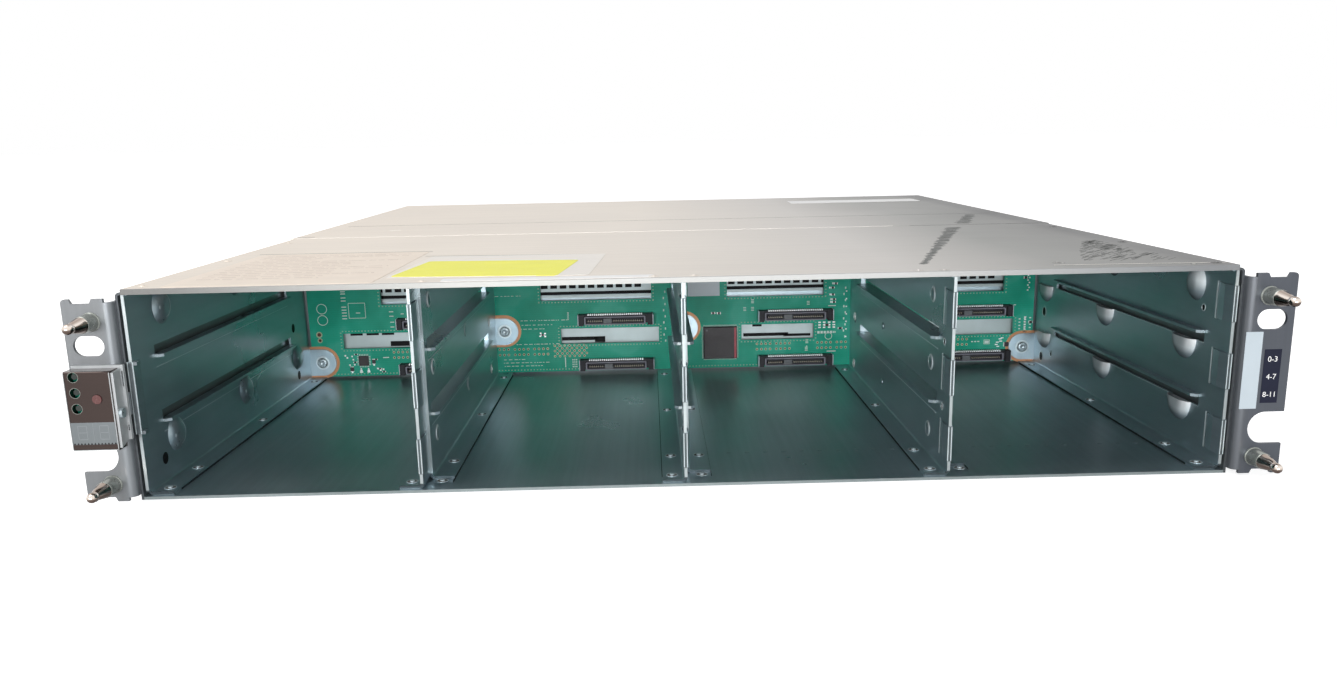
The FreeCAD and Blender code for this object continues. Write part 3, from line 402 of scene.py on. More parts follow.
# Black parts, also painted shade in holes and openings.
surface("black_parts_and_shade", (0.004, 0.004, 0.005), 0, 0.6, specular=0.2)
surface("light_pipe", (0.022, 0.032, 0.028), 0, 0.15, coat=0.3)
surface("button_plastic", (0.12, 0.042, 0.04), 0, 0.25, coat=0.2)
surface("board_paper", (0.68, 0.73, 0.77), 0, 0.5, mottle=0.03)
surface("white_label", (0.86, 0.86, 0.86), 0, 0.55, mottle=0.02, bump=0.03)
surface("cream_label", (0.84, 0.74, 0.64), 0, 0.6, mottle=0.03, bump=0.03)
surface("yellow_label", (0.86, 0.84, 0.07), 0, 0.5, mottle=0.03, bump=0.03)
surface("clear_label", (0.77, 0.73, 0.68), 0.2, 0.45, mottle=0.01, bump=0.01, grain=200)
surface("silver_label", (0.5, 0.57, 0.62), 0.2, 0.4, mottle=0.03)
surface("navy_label", (0.014, 0.016, 0.032), 0, 0.6, mottle=0.1, specular=0.15)
# Smudges and scuffs, also painted shade in clinch dishes and along the seam fold.
surface("scuffs_and_shade", (0.12, 0.125, 0.12), 0, 0.6, mottle=0.3, blotch=300)
surface("print_ink", (0.5, 0.41, 0.36), 0, 0.7)
# Worn lines, also painted highlights on the seam fold and the clinches of the cover.
surface("wear_and_highlight", (0.92, 0.88, 0.82), 0.3, 0.35)

# Start of the names of the CAD nodes that each look goes to.
NODE_LOOKS = {
    "zinc_sheet": ("base_pan", "inner_wall", "divider", "midplane_bulkhead", "rear_divider", "module_shelf"),
    "cover_sheet": "top_cover", "side_sheet": "side_panel", "ear_sheet": "rack_ear",
    "spring_strip": "emi_clips", "edge_guard": "cable_edge_guard",
    "solder_mask": ("midplane_board", "panel_board"),
    "screw_plating": ("midplane_screws", "panel_screw"), "brass": "midplane_standoffs",
    "socket_plastic": ("drive_connector", "module_connector", "power_connector"),
    "chip_package": ("expander_chip", "monitor_chip"), "nickel": "bezel_studs",
    "bronze_mirror": "panel_housing", "pale_plate_and_highlights": "panel_bracket", "display_lens": "display_window",
    "black_parts_and_shade": ("id_display", "button_switch"), "light_pipe": "status_light_pipes",
    "button_plastic": "id_button",
}


def finish_nodes():
    """Give every CAD node its look."""
    for name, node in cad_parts.items():
        look = next(look for look, starts in NODE_LOOKS.items() if name.startswith(starts))
        node.data.materials.clear()
        node.data.materials.append(looks[look])


# -------- forms
def placed(name, data, location=(0, 0, 0), rotation=(0, 0, 0)):
    """New object of the scene."""
    thing = bpy.data.objects.new(name, data)
    thing.location, thing.rotation_euler = location, rotation
    bpy.context.scene.collection.objects.link(thing)
    return thing


def ride(piece):
    """Let a piece ride on the chassis."""
    bpy.context.view_layer.update()
    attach(piece, "chassis")


class Form:
    """Mesh gathered from small shapes, which waits to be made into one named piece."""
    waiting = []

    def __init__(self, name, slot, *materials, smooth=35, stands_for=None):
        self.mesh = bmesh.new()
        self.name, self.slot, self.materials = name, slot, materials
        self.smooth, self.stands_for = smooth, stands_for
        Form.waiting.append(self)

    def points(self, places):
        return [self.mesh.verts.new(place) for place in places]

    def block(self, low, high, bevel=0):
        """Box between two corners, with its edges softened."""
        low, high = Vector(low), Vector(high)
        made = bmesh.ops.create_cube(self.mesh, size=1)["verts"]
        place = Matrix.Translation((low + high) / 2) @ Matrix.Diagonal((*(high - low), 1))
        bmesh.ops.transform(self.mesh, matrix=place, verts=made)
        if bevel:
            edges = {edge for vertex in made for edge in vertex.link_edges}
            bmesh.ops.bevel(self.mesh, geom=list(edges), offset=bevel, segments=2, affect="EDGES")

    def bar(self, x, half, ys, zs, bevel=0):
        """Box about an X, between two Ys and two Zs."""
        self.block((x - half, ys[0], zs[0]), (x + half, ys[1], zs[1]), bevel)

    def turned(self, base, axis, profile, steps, material=0, closed=False):
        """Solid of revolution about an axis; profile is (distance along it, radius) pairs."""
        turn = Vector(UP).rotation_difference(Vector(axis)).to_matrix()
        rows = []
        for distance, radius in profile:
            angles = [step * math.tau / steps for step in range(steps if radius else 1)]
            rows.append(self.points(
                Vector(base) + turn @ Vector((radius * math.cos(angle), radius * math.sin(angle), distance))
                for angle in angles))
        for first, second in zip(rows, rows[1:] + rows[:1] if closed else rows[1:]):
            for step in range(steps):
                corners = [first[step % len(first)], first[(step + 1) % len(first)],
                           second[(step + 1) % len(second)], second[step % len(second)]]
                unique = list(dict.fromkeys(corners))
                if len(unique) > 2:
                    self.mesh.faces.new(unique).material_index = material

    def stamp(self, places, axis, profile, steps):
        """Solids of revolution of one profile at several places."""
        for place in places:
            self.turned(place, axis, profile, steps)

    def ring(self, base, axis, inner, outer, height, steps):
        """Flat ring standing on a surface."""
        profile = [(0, outer), (height, outer), (height, inner), (0, inner)]
        self.turned(base, axis, profile, steps, closed=True)

    def strip(self, first, second):
        """Faces between two rows of as many points."""
        for corners in zip(first, first[1:], second[1:], second):
            self.mesh.faces.new(corners)

    def plate(self, outline, low, high, axis=1):
        """Flat plate of an outline of (across, up) points, between two depths along Y or Z."""
        front, back = (self.points((a, depth, b) if axis == 1 else (a, b, depth) for a, b in outline)
                       for depth in (low, high))
        self.mesh.faces.new(front)
        self.mesh.faces.new(back[::-1])
        for index in range(len(outline)):
            after = (index + 1) % len(outline)
            self.mesh.faces.new((front[after], front[index], back[index], back[after]))

def make_pieces():
    """Finish the waiting forms as pieces."""
    while Form.waiting:
        form = Form.waiting.pop(0)
        bmesh.ops.recalc_face_normals(form.mesh, faces=form.mesh.faces)
        bmesh.ops.scale(form.mesh, vec=(MM, MM, MM), verts=form.mesh.verts)
        data = bpy.data.meshes.new(form.name)
        form.mesh.to_mesh(data)
        form.mesh.free()
        for material in form.materials:
            data.materials.append(looks[material])
        data.shade_smooth()
        data.set_sharp_from_angle(angle=math.radians(form.smooth))
        piece = placed(form.name, data)
        ride(piece)
        if form.stands_for:
            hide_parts(form.stands_for)


# -------- board
def board_block(form, bay, across, up, width, tall, out, bevel=0):
    """Small block standing on the board, given by its middle."""
    form.bar(bay_xs[bay] + across, width / 2, (board_y - out, board_y + 0.02),
             (up - tall / 2, up + tall / 2), bevel)


def copper_lands():
    """Bare copper round each screw tab: a half round end and straight sides to the sheet."""
    form = Form("copper_lands", "circuit_board", "bare_copper")
    radius, steps = 9.7, 16
    for x, z, side, reach in screw_places():
        angles = [step * math.pi / steps for step in range(steps + 1)]
        outline = [(x + side * radius * math.sin(angle), z + radius * math.cos(angle)) for angle in angles]
        outline += [(x - side * reach, z + rise) for rise in (-radius, radius)]
        form.plate(outline, board_y - 0.06, board_y + 0.02)


def vias():
    """Plated holes: rows of four, a honeycomb block and single test points."""
    rings = Form("via_rings", "circuit_board", "via_plating")
    hole_shades = Form("via_hole_shade_discs", "circuit_board", "via_hole_shade")
    pitch, honey_pitch, honey_rise, bay_reach = 2.65, 2.95, 1.62, 52.5

    def via(bay, across, up, radius=0.75):
        place = on_board(bay, across, up)
        rings.ring(place, TO_FRONT, radius * 0.6, radius, 0.05, 12)
        # Painted shade: a dark disc in each via stands for its hole.
        hole_shades.turned(place, TO_FRONT, [(0.03, 0), (0.03, radius * 0.62), (0, radius * 0.62)], 10)

    for bay, starts in enumerate([(-6.8, 5), (-53.7, -41.9, -30.1), (-3.6, 8.1, 33, 44.8), (-3.6, 8.1)]):
        for start, up, index in product(starts, (16.7, 13.4), range(4)):
            if abs(start + index * pitch) < bay_reach:
                via(bay, start + index * pitch, up)
    for row, column in product(range(5), range(7)):
        via(1, -17.9 + (column + row % 2 / 2) * honey_pitch, 18.4 - row * honey_rise, 0.7)
    via(0, -50.5, 28.3, 1.9)
    via(0, -50.3, 24.8, 1.5)


def dotted_lines():
    """Stitching dots round the windows and along the lower edge of the board."""
    form = Form("stitching_dots", "circuit_board", "masked_dots")
    pitch, size = 1.9, 0.75

    def line(bay, start, end):
        first, last = Vector(start), Vector(end)
        count = max(1, int((last - first).length / pitch))
        for index in range(count + 1):
            at = first.lerp(last, index / count)
            board_block(form, bay, at.x, at.y, size, size * 0.8, 0.05)

    for bay, (left, right) in enumerate(HIGH_WINDOWS):
        line(bay, (left - 1, 44.6), (right + 1, 44.6))
        for across in (left - 1.1, right + 1.1):
            line(bay, (across, 45), (across, 55))
    for bay, (left, right) in enumerate(LOW_WINDOWS):
        for up in (30, 18.2):
            line(bay, (left, up), (right, up))
        for across in (right + 1.2, left - 1.2):
            line(bay, (across, 19.5), (across, 29))
        line(bay, (-43 if bay in (0, 3) else -52, 3.9), (-4, 3.9))


def silkscreen():
    """White ink: part outlines, reference ticks and test marks, with no words."""
    form = Form("board_marks", "circuit_board", "board_ink")

    def mark(bay, across, up, width, tall=0.55):
        board_block(form, bay, across, up, width, tall, BOARD_INK)

    def ticks(bay, across, up, count, width, pitch, tall):
        for index in range(count):
            mark(bay, across + index * pitch, up, width, tall)

    def outline(bay, left, right, low, high, line=0.3):
        for up in (low, high):
            mark(bay, (left + right) / 2, up, right - left, line)
        for across in (left, right):
            mark(bay, across, (low + high) / 2, line, high - low)

    for up in (53.9, 52.6, 50.2, 48.4, 44.7, 42.9, 41.2, 39.4, 37.7):
        mark(0, -34.5, up, 2.8)
    for up in (43.8, 37):
        form.ring(on_board(0, -47.7, up), TO_FRONT, 2.75, 3.1, BOARD_INK, 28)
    for bay, across, up, width in (
            (0, -49.8, 20.2, 3.2), (0, -6.7, 41.3, 2.5), (0, -6.7, 38.6, 2.4), (0, -6.5, 35, 2.3),
            (0, -6.6, 32.1, 2.2), (0, -26.3, 41, 2.5), (0, -0.2, 39.9, 1.8), (0, -11.8, 13.6, 3.6),
            (1, -46.4, 36.6, 3.4), (2, 41.6, 39, 4.6), (2, 41.4, 11.2, 5.4), (2, 26.5, 14.6, 0.7)):
        mark(bay, across, up, width)
    random.seed(7)
    for up, left, right in ((34, -37.7, -10.5), (31.3, -37.2, -19.5), (28.9, -38.3, -23.6),
                            (19.6, -40.8, -15.2), (10.4, -48.8, -35.2), (8.4, -48.9, -22.8),
                            (6.4, -48.6, -24.5), (49, -54, -37)):
        while left < right:
            width = random.choice((0.7, 1.1, 1.5, 2.1))
            mark(1, left + width / 2, up, width, 0.32)
            left += width + random.choice((0.6, 0.9, 1.4))
    outline(0, -31.8, -22, 37.9, 46.9)
    mark(1, -11.8, 8, 0.5, 6)
    for column, row in product(range(3), range(4)):
        mark(1, -7.3 + column * 1.1, 5.3 + row * 1.4, 0.6, 0.8)
    outline(1, -9.5, -8.9, 34, 38.5, 0.2)
    for across, up in ((-10.9, 38.1), (-6.2, 38.1), (-6.2, 42.7), (27.3, 41), (26.3, 13), (26.6, 17.6)):
        for row in range(3):
            mark(2, across, up - 0.9 + row * 0.9, 1.7, 0.4)
    form.ring(on_board(2, 39.6, 20.6), TO_FRONT, 1.9, 2.2, BOARD_INK, 20)
    ticks(2, 33.6, 22.9, 5, 1.4, 1.9, 1.5)
    ticks(2, 42.6, 22.9, 2, 0.6, 1, 1.2)
    ticks(3, 19.4, 15, 3, 1.2, 1.9, 0.6)
    outline(3, 26.6, 30, 13.4, 15.9)
    mark(3, 28.3, 14.6, 2.6, 1.6)
    ticks(3, 39.9, 37, 3, 1.4, 2.2, 0.5)
    for column, across in enumerate((47.7, 50.8, 54.1)):
        for row in range(5):
            mark(3, across, 20.3 + row * 2 + column * 0.3, 1.1, 0.7)
    for (bay, across), row in product(((1, 49), (2, 49.6)), range(9)):
        mark(bay, across - (row % 2) * 0.9, 20 + row * 3.7, 0.7, 1.3)


def small_parts():
    """Resistors, capacitors and small chips with their tinned ends."""
    bodies = Form("small_components", "chip_package", "chip_package")
    ends = Form("component_ends", "circuit_board", "tin_and_highlights")
    pads = Form("solder_pads", "circuit_board", "tin_and_highlights")

    def parts(bay, width, tall, out, *places):
        for across, up in places:
            board_block(bodies, bay, across, up, width, tall, out, 0.08)
            for side in SIDES:
                if width > tall:
                    end = (across + side * (width / 2 + 0.15), up, 0.45, tall * 0.95)
                else:
                    end = (across, up + side * (tall / 2 + 0.15), width * 0.95, 0.45)
                board_block(ends, bay, *end, out * 0.8)

    def pad(bay, width, tall, *places):
        for across, up in places:
            board_block(pads, bay, across, up, width, tall, 0.06)

    parts(0, 1.9, 2.4, 1, (-19.2, 11.4))
    parts(0, 2, 2.4, 1, (-32.5, 7))
    parts(0, 1.4, 0.8, 0.5, (-15.8, 6.8), (-13.6, 5), (-17.9, 12.6), (-30.4, 11.1), (-29.6, 15.9))
    parts(1, 1.4, 1.2, 0.6, (-24.8, 25.2))
    parts(2, 1.5, 1.2, 0.6, (-26.5, 36), (-29.9, 36.1))
    upper_right = ((42, 45.8), (42.7, 42.9), (42.6, 41.2), (41.8, 49.9), (43.6, 52.4))
    parts(2, 1.4, 1.1, 0.7, *upper_right)
    parts(2, 2, 1.5, 0.5, (38.6, 27.4))
    parts(2, 2, 1.2, 0.6, (46.6, 25.2))
    parts(3, 2.8, 2.6, 1, (40.2, 13))
    parts(3, 1.8, 1.4, 0.7, (54.3, 26.3))
    parts(3, 1.6, 1.4, 0.7, (49.9, 53.4))

    pad(0, 0.9, 0.9, (-32.1, 14.7), (-31.5, 12.7), (-32.6, 4.9), (-19.3, 9.2), (-36.1, 15.2), (-35, 13.9),
        (-30.9, 9.6), (-33.8, 9.4), (-17.3, 7), (-15.6, 5.9), (-13.9, 6.4))
    for up in (6.9, 5.9, 5):
        pad(0, 1.8 - (up - 5) * 0.5, 0.8, (-27.2, up), (-22.8, up))
    pad(1, 1, 0.8, (-26.3, 24.4), (-23.3, 24.2), (-26, 26.2), (-23.4, 26))
    pad(2, 0.7, 1, *((across - 1.7, up) for across, up in upper_right))
    pad(2, 1.5, 0.75, *product((34.2, 37, 40, 42.8), (29, 27.4, 25.9)))
    pad(3, 1.7, 0.6, (34.8, 14.3), (36.4, 16.3), (35.2, 11.7), (36.8, 14.9), (34.2, 12.9), (37.6, 16.9))
    for row in range(7):
        pad(3, 1.2, 0.8, (51, 20.4 + row * 1.5))
        pad(3, 0.9, 0.8, (51.6 + (row % 2) * 0.8, 45.8 + row * 1.5))
        pad(2, 0.8, 0.8, (50.2, 20 + row * 4.6))


def chip_details():
    """Leads round the two chips, a coloured edge stripe and a pin-one dot."""
    leads = Form("chip_leads", "circuit_board", "board_ink")
    stripe = Form("chip_stripe", "chip_package", "red_stripe")
    dot = Form("chip_dot", "chip_package", "grey_plastic")
    lead_ys = (board_y - 0.35, board_y)
    for name, count, length in (("monitor_chip", 6, 1), ("expander_chip", 38, 0.9)):
        low, high = node_box(name)
        half = (high.x - low.x) / count * 0.22
        for index in range(count):
            share = (index + 0.5) / count
            x = low.x + (high.x - low.x) * share
            z = low.z + (high.z - low.z) * share
            for ends in ((high.z, high.z + length), (low.z - length, low.z)):
                leads.bar(x, half, lead_ys, ends)
            for middle_x in (low.x - length / 2, high.x + length / 2):
                leads.bar(middle_x, length / 2, lead_ys, (z - half, z + half))
    stripe.block((high.x - 1.7, low.y - 0.04, low.z + 0.5), (high.x - 0.4, low.y + 0.3, high.z - 0.5), 0.02)
    dot.turned((low.x + 2, low.y, high.z - 2), TO_FRONT, [(0, 0.6), (0.05, 0.6), (0.05, 0)], 16)


def board_label():
    """Bare white label at the upper left of the third bay's board."""
    form = Form("board_label", "circuit_board", "board_paper")
    form.bar(bay_xs[2] - 35.5, 9.6, (board_y - 0.12, board_y + 0.02), (46.5, 58), 0.04)


def socket_details():
    """Contact rows, tongue contacts, keys, end brackets and rims of the twelve drive sockets."""
    pins = Form("socket_pins", "socket_plastic", "tin_and_highlights")
    contacts = Form("socket_contacts", "socket_plastic", "worn_gold")
    keys = Form("socket_keys", "socket_plastic", "grey_plastic")
    brackets = Form("socket_brackets", "socket_plastic", "silver_label")
    rims = Form("socket_rims", "socket_plastic", "rim_plastic")
    pin_count, pin_pitch, first_pin, key_middle, key_clearance = 26, 1.27, -16.2, -4.6, 3.2
    for number in range(12):
        low, high = connector_box(0, number)
        face, centre = low.y, middle(low, high)
        for x in (centre.x + first_pin + index * pin_pitch for index in range(pin_count)):
            pins.bar(x, 0.34, (face + 0.3, face + 3.6), (high.z - 0.35, high.z + 0.5), 0.06)
            if abs(x - (centre.x + key_middle)) > key_clearance:
                contacts.bar(x, 0.25, (face + 0.7, face + 4), (centre.z - 1, centre.z - 0.35))
        keys.bar(centre.x - 4.75, 2.45, (face - 0.05, face + 3), (centre.z - 2, centre.z + 0.9), 0.3)
        for x in (low.x, high.x):
            brackets.bar(x, 0.25, (face - 0.1, high.y - 0.02), (low.z + 0.2, high.z + 0.1), 0.1)
        rim_ys, left, right = (face - 0.05, face + 1.6), centre.x - 18.2, centre.x + 17.4
        for up in (centre.z - 2.45, centre.z + 1.75):
            rims.bar(middle(left, right), (right - left) / 2, rim_ys, (up - 0.3, up + 0.3), 0.12)
        for x in (left, right):
            rims.bar(x, 0.4, rim_ys, (centre.z - 2.5, centre.z + 1.8), 0.15)


def bulkhead_details():
    """What shows through the windows: pressed plates of the bulkhead, its vents and slots painted black as
    shade.
    """
    # Painted shade: black blocks fill the vents and slots.
    opening_shade = Form("bulkhead_slot_shade", "zinc_steel", "black_parts_and_shade")
    plates = Form("bulkhead_plates", "zinc_steel", "window_steel")
    face = node_box("midplane_bulkhead")[0].y
    vent_pitch, vent_count, vent_width = 5.6, 11, 4
    for bay, ((left, right), rise, shift) in enumerate(zip(HIGH_WINDOWS, (0.9, 0.9, 2, 2), (0, -2.9, 2, 0))):
        x_low, x_high = bay_xs[bay] + left - 2, bay_xs[bay] + right + 2
        plates.block((x_low, face - 0.9, 49.4 + rise), (x_high, face - 0.05, 57), 0.4)
        opening_shade.block((x_low, face - 0.2, 47.4 + rise), (x_high, face + 0.1, 49.3 + rise))
        plates.block((x_low, face - 1.2, 45.65 + rise), (x_high, face - 0.05, 47.3 + rise), 0.3)
        for index in range(vent_count):
            x = bay_xs[bay] + (left + right) / 2 + shift + (index - (vent_count - 1) / 2) * vent_pitch
            opening_shade.bar(x, vent_width / 2, (face - 0.95, face - 0.85), (51.95 + rise / 3, 54.2 + rise / 3))
    for bay, left, right, low, high in ((0, -33.5, -26.1, 26.4, 28.6), (0, -23.8, -16.4, 26.4, 28.6),
                                        (0, -14.6, -7.2, 26.4, 28.6), (0, -9.7, 14, 19.4, 22.5),
                                        (1, -13.8, 7.5, 20.4, 22.6), (1, 6.1, 12.4, 19, 22.6),
                                        (2, -11.4, 16, 20.4, 22.4), (2, 13, 29.5, 20, 21.6),
                                        (2, -5.9, -0.2, 26.4, 29)):
        opening_shade.block((bay_xs[bay] + left, face - 0.25, low), (bay_xs[bay] + right, face + 0.1, high), 0.05)
    for bay_x, (left, right) in zip(bay_xs, LOW_WINDOWS):
        plates.block((bay_x + left - 1, face - 0.12, 18), (bay_x + right + 1, face + 0.1, 30.5), 0.03)


# -------- sheet metal
def wall_domes():
    """Smooth domes over the pressed ones of the two inner walls."""
    profile = [(0, DOME_RADIUS), (0.9, 6.75), (1.75, 5.6), (2.35, 4.4), (2.68, 3.3), (2.78, 1.6), (2.8, 0)]
    for name, look, side, heights in (("left_wall_domes", "pressed_zinc", -1, DOME_HEIGHTS),
                                      ("right_wall_domes", "dome_painted_light", 1, DOME_HEIGHTS[1:])):
        places = [(side * WALL_FACE, deep(y), z) for y, z in product(DOME_DEPTHS, heights)]
        Form(name, "zinc_steel", look).stamp(places, (-side, 0, 0), profile, 28)


def dome_glints():
    """Thin bright crescents where the domes of the left wall turn towards the light."""
    form = Form("dome_glints", "zinc_steel", "painted_highlight")
    steps = 14
    for y, z in product(DOME_DEPTHS, DOME_HEIGHTS):
        outer, inner = [], []
        for share in (step / steps for step in range(steps + 1)):
            angle = math.radians(175 * share - 100)
            swell = math.sin(share * math.pi)
            for rim, radius, height in ((outer, 4.7, 2.2), (inner, 4.6 - 1.5 * swell, 2.25 + 0.44 * swell)):
                rim.extend(form.points([(height + 0.12 - WALL_FACE, deep(y) + radius * math.cos(angle),
                                         z + radius * math.sin(angle))]))
        form.strip(outer, inner)
        # Painted highlight: a small bright dot on the near side of each dome.
        form.turned((2.1 - WALL_FACE, deep(y - 4.8), z), (1, 0, 0), [(0, 0.9), (0.15, 0.6), (0.2, 0)], 14)


def wall_scoops():
    """Smooth half-round scoops under the ledges of the right wall."""
    form = Form("wall_scoops", "zinc_steel", "scoop_painted_light")
    steps = 20
    angles = [step * math.pi / steps for step in range(steps + 1)]
    profile = [(0, SCOOP_RADIUS), (0.8, 9.35), (1.7, 8.3), (2.4, 6.9), (2.8, 5.2), (2.88, 3.5), (2.9, 1)]
    for y, z in product((36, 118.5, 201), scoop_tops):
        rows = [form.points((WALL_FACE - height, deep(y) + radius * math.cos(angle),
                             z - radius * math.sin(angle)) for angle in angles)
                for height, radius in profile]
        for first, second in zip(rows, rows[1:]):
            form.strip(first, second)
        form.mesh.faces.new(rows[-1])
        form.mesh.faces.new([row[0] for row in rows] + [row[-1] for row in rows[::-1]])


def clinches():
    """Clinch points that join the sheets: a shallow dish with a raised middle; on the floor the dish is
    painted dark as shade, its rings bright as highlights.
    """
    dish_shades = Form("floor_clinches", "zinc_steel", "scuffs_and_shade")
    rings = Form("clinch_highlights", "zinc_steel", "painted_highlight")
    tops = Form("cover_clinches", "cover_steel", "cover_sheet")
    profile = [(0.02, 2.3), (0.22, 1.9), (0.1, 1.35), (0.12, 1), (0.42, 0.75), (0.45, 0)]
    xs = [x + side * 6.2 for x, side in product(divider_xs, SIDES)] + [5 - WALL_FACE, WALL_FACE - 5]
    for x, y in product(xs, CLINCH_DEPTHS):
        dish_shades.turned((x, deep(y), floor_z + 1.15), UP, profile, 18)
        rings.ring((x, deep(y), floor_z + 1.2), UP, 0.35, 1, 0.5, 14)
        rings.ring((x, deep(y), floor_z + 1.2), UP, 2.3, 2.5, 0.12, 18)
    places = [*product((-214.5, 214.5), (8, 96, 186)), (93.3, 4.4), (103.4, 4), (154.3, 19.5), (-103.4, 4),
              (-12, 4), (4, 4)]
    tops.stamp([(x, deep(y), cover_top) for x, y in places], UP, profile, 18)


def flange_shadows():
    """Dark line in the step between each floor flange and the pan."""
    form = Form("flange_shadows", "zinc_steel", "step_shadow")
    flange_reach, start, end, wall_back = 10.2, 9, 215, WALL_FACE + SHEET
    edges = [(flange_reach - wall_back, 1), (wall_back - flange_reach, -1)]
    edges += [(x + side * flange_reach, side) for x, side in product(divider_xs, SIDES)]
    for (x, side), (reach, rise) in product(edges, ((0.3, 0.06), (0.06, 0.7))):
        form.bar(x + side * reach / 2, reach / 2, (deep(start), deep(end)), (floor_z, floor_z + rise))


def floor_bumps():
    """Rows of small pressed bumps across the floor of the two right bays."""
    pitch, profile = 8.15, [(0, 1.25), (0.25, 0.9), (0.36, 0.45), (0.38, 0)]
    places = [(start + index * pitch, deep(42), floor_z) for start, index in product((20, 130), range(10))]
    Form("floor_bumps", "zinc_steel", "pressed_zinc").stamp(places, UP, profile, 14)


def sheet_marks():
    """Dimples, rivets, eyelets and small holes of the walls and dividers: rims painted bright as highlights,
    holes painted black as shade.
    """
    forms = Form("divider_dimples", "zinc_steel", "zinc_sheet")
    rims = Form("sheet_hole_highlights", "zinc_steel", "bright_steel_and_highlights")
    hole_shades = Form("sheet_hole_shade", "zinc_steel", "black_parts_and_shade")
    eyelets = Form("sheet_eyelets", "zinc_steel", "tin_and_highlights")
    # Painted shade: black discs stand for the holes; rims and eyelets are painted highlights.
    hole, small_hole = (hole_shades, [(0.06, 2.55), (0.06, 0)], 22), (hole_shades, [(0.05, 1.25), (0.05, 0)], 16)
    bare = [hole]
    dimple = [(forms, [(0, 3.2), (0.35, 2.6), (0.62, 1.5), (0.7, 0)], 22),
              (rims, [(0, 3.5), (0.25, 3.3), (0.4, 2.7), (0.1, 2.6)], 22)]
    eyelet = [(eyelets, [(0, 2.7), (0.35, 2.5), (0.35, 1.6), (0.05, 1.5)], 22), small_hole]
    rivet = [(forms, [(0, 1.8), (0.45, 1.6), (0.7, 0.9), (0.75, 0)], 18)]
    rimmed = [(rims, [(0, 3.3), (0.25, 3), (0.25, 2.6), (0.05, 2.5)], 22), hole]
    pin = [(rims, [(0, 1.7), (0.15, 1.55), (0.15, 1.25), (0.03, 1.2)], 16), small_hole]
    right_sheet = [(dimple, ((28.5, 75.4), (28.5, 46.7), (28.5, 17.7), (112, 75), (112, 47.7), (112, 20))),
                   (eyelet, ((190, 66), (190, 38.2), (190.5, 10.8)))]
    left_sheet = [(dimple, ((30.5, 72.5), (30.5, 43.2), (32, 13.2))),
                  (eyelet, ((202, 62), (202, 34.8), (203, 6.6))),
                  (rivet, ((126, 70), (126, 42.3), (125, 13))), (pin, ((10.4, 55.8), (10.5, 28.5)))]
    half_sheets = 1.3
    faces = [(x + half_sheets, 1, right_sheet) for x in divider_xs]
    faces += [(x - half_sheets, -1, left_sheet) for x in divider_xs]
    faces += [(-WALL_FACE, 1, [(bare, ((17.6, 12.3), (191.8, 37), (194.3, 8.9)))]),
              (WALL_FACE, -1, [(rimmed, ((202.8, 35), (204, 7.9))), (pin, ((188.8, 12.2), (22.7, 65.5)))])]
    for x, outwards, marks in faces:
        for kind, places in marks:
            for form, profile, steps in kind:
                form.stamp([(x, deep(y), z) for y, z in places], (outwards, 0, 0), profile, steps)


def slot_rim_highlights():
    """Painted highlights along the rims of the slots that the ledges were bent out of and that the spring
    clips hook into.
    """
    lower = Form("ledge_slot_highlights", "zinc_steel", "painted_highlight")
    start, end, tall, proud, half_sheets = 20, 186, 0.25, 0.08, 1.25
    xs = [-WALL_FACE, WALL_FACE] + [x + side * half_sheets for x, side in product(divider_xs, SIDES)]
    for x, top in product(xs, scoop_tops):
        lower.bar(x, proud, (deep(start), deep(end)), (top - tall, top))
    upright = Form("slot_rim_highlights", "zinc_steel", "bright_steel_and_highlights")
    slot_y, half_width, half_length, proud = 11.3, 1.3, 7.7, 0.1
    rear, front = deep(slot_y + half_width), deep(slot_y - half_width)
    for x, z in product([WALL_FACE] + [x - SHEET for x in divider_xs], clip_zs):
        upright.bar(x, proud, (rear, rear + 0.9), (z - half_length, z + half_length), 0.05)
        upright.bar(x, proud, (front - 0.3, front), (z - half_length, z + 0.5), 0.05)
        upright.bar(x, proud, (front - 0.9, front - 0.6), (z + 1.4, z + half_length - 1.5), 0.05)


def clip_edges():
    """Painted highlights down both folds of the spring clips and of the edge guard."""
    fold_highlights = Form("clip_fold_highlights", "spring_steel", "bright_steel_and_highlights")
    half_length, half_width, half_fold = 7.2, 0.62, 0.17
    for back, z, side in product([WALL_FACE + SHEET] + divider_xs, clip_zs, SIDES):
        fold_highlights.bar(back - SHEET / 2 + side * half_width, half_fold, (deep(-0.46), deep(-0.2)),
                  (z - half_length, z + half_length), 0.08)
    low, high = node_box("cable_edge_guard")
    for x in (low.x, low.x + 2):
        fold_highlights.block((x - 0.05, low.y - 0.1, low.z), (x + 0.35, low.y + 0.2, high.z), 0.06)


def board_screws():
    """Round screw heads with a recess, over the tabs of the midplane."""
    heads = Form("board_screws", "screw_steel", "screw_plating", stands_for="midplane_screws")
    washers = Form("screw_seats", "zinc_steel", "bright_steel_and_highlights")
    low, high = node_box("midplane_screws")
    length, shank_radius, head_height = high.y - low.y, 1.5, 1.8
    profile = [(length, 0), (length, shank_radius), (head_height, shank_radius), (head_height, SCREW_RADIUS),
               (0.7, SCREW_RADIUS), (0.3, 2.8), (0.05, 2.4), (0, 2), (0.02, 1.6), (0.5, 1.35), (0.8, 0.9),
               (0.8, 0)]
    for x, z, *_ in screw_places():
        heads.turned((x, low.y, z), (0, 1, 0), profile, 28)
        washers.ring((x, low.y + head_height + 0.01, z), TO_FRONT, SCREW_RADIUS, 4.1, 0.25, 28)


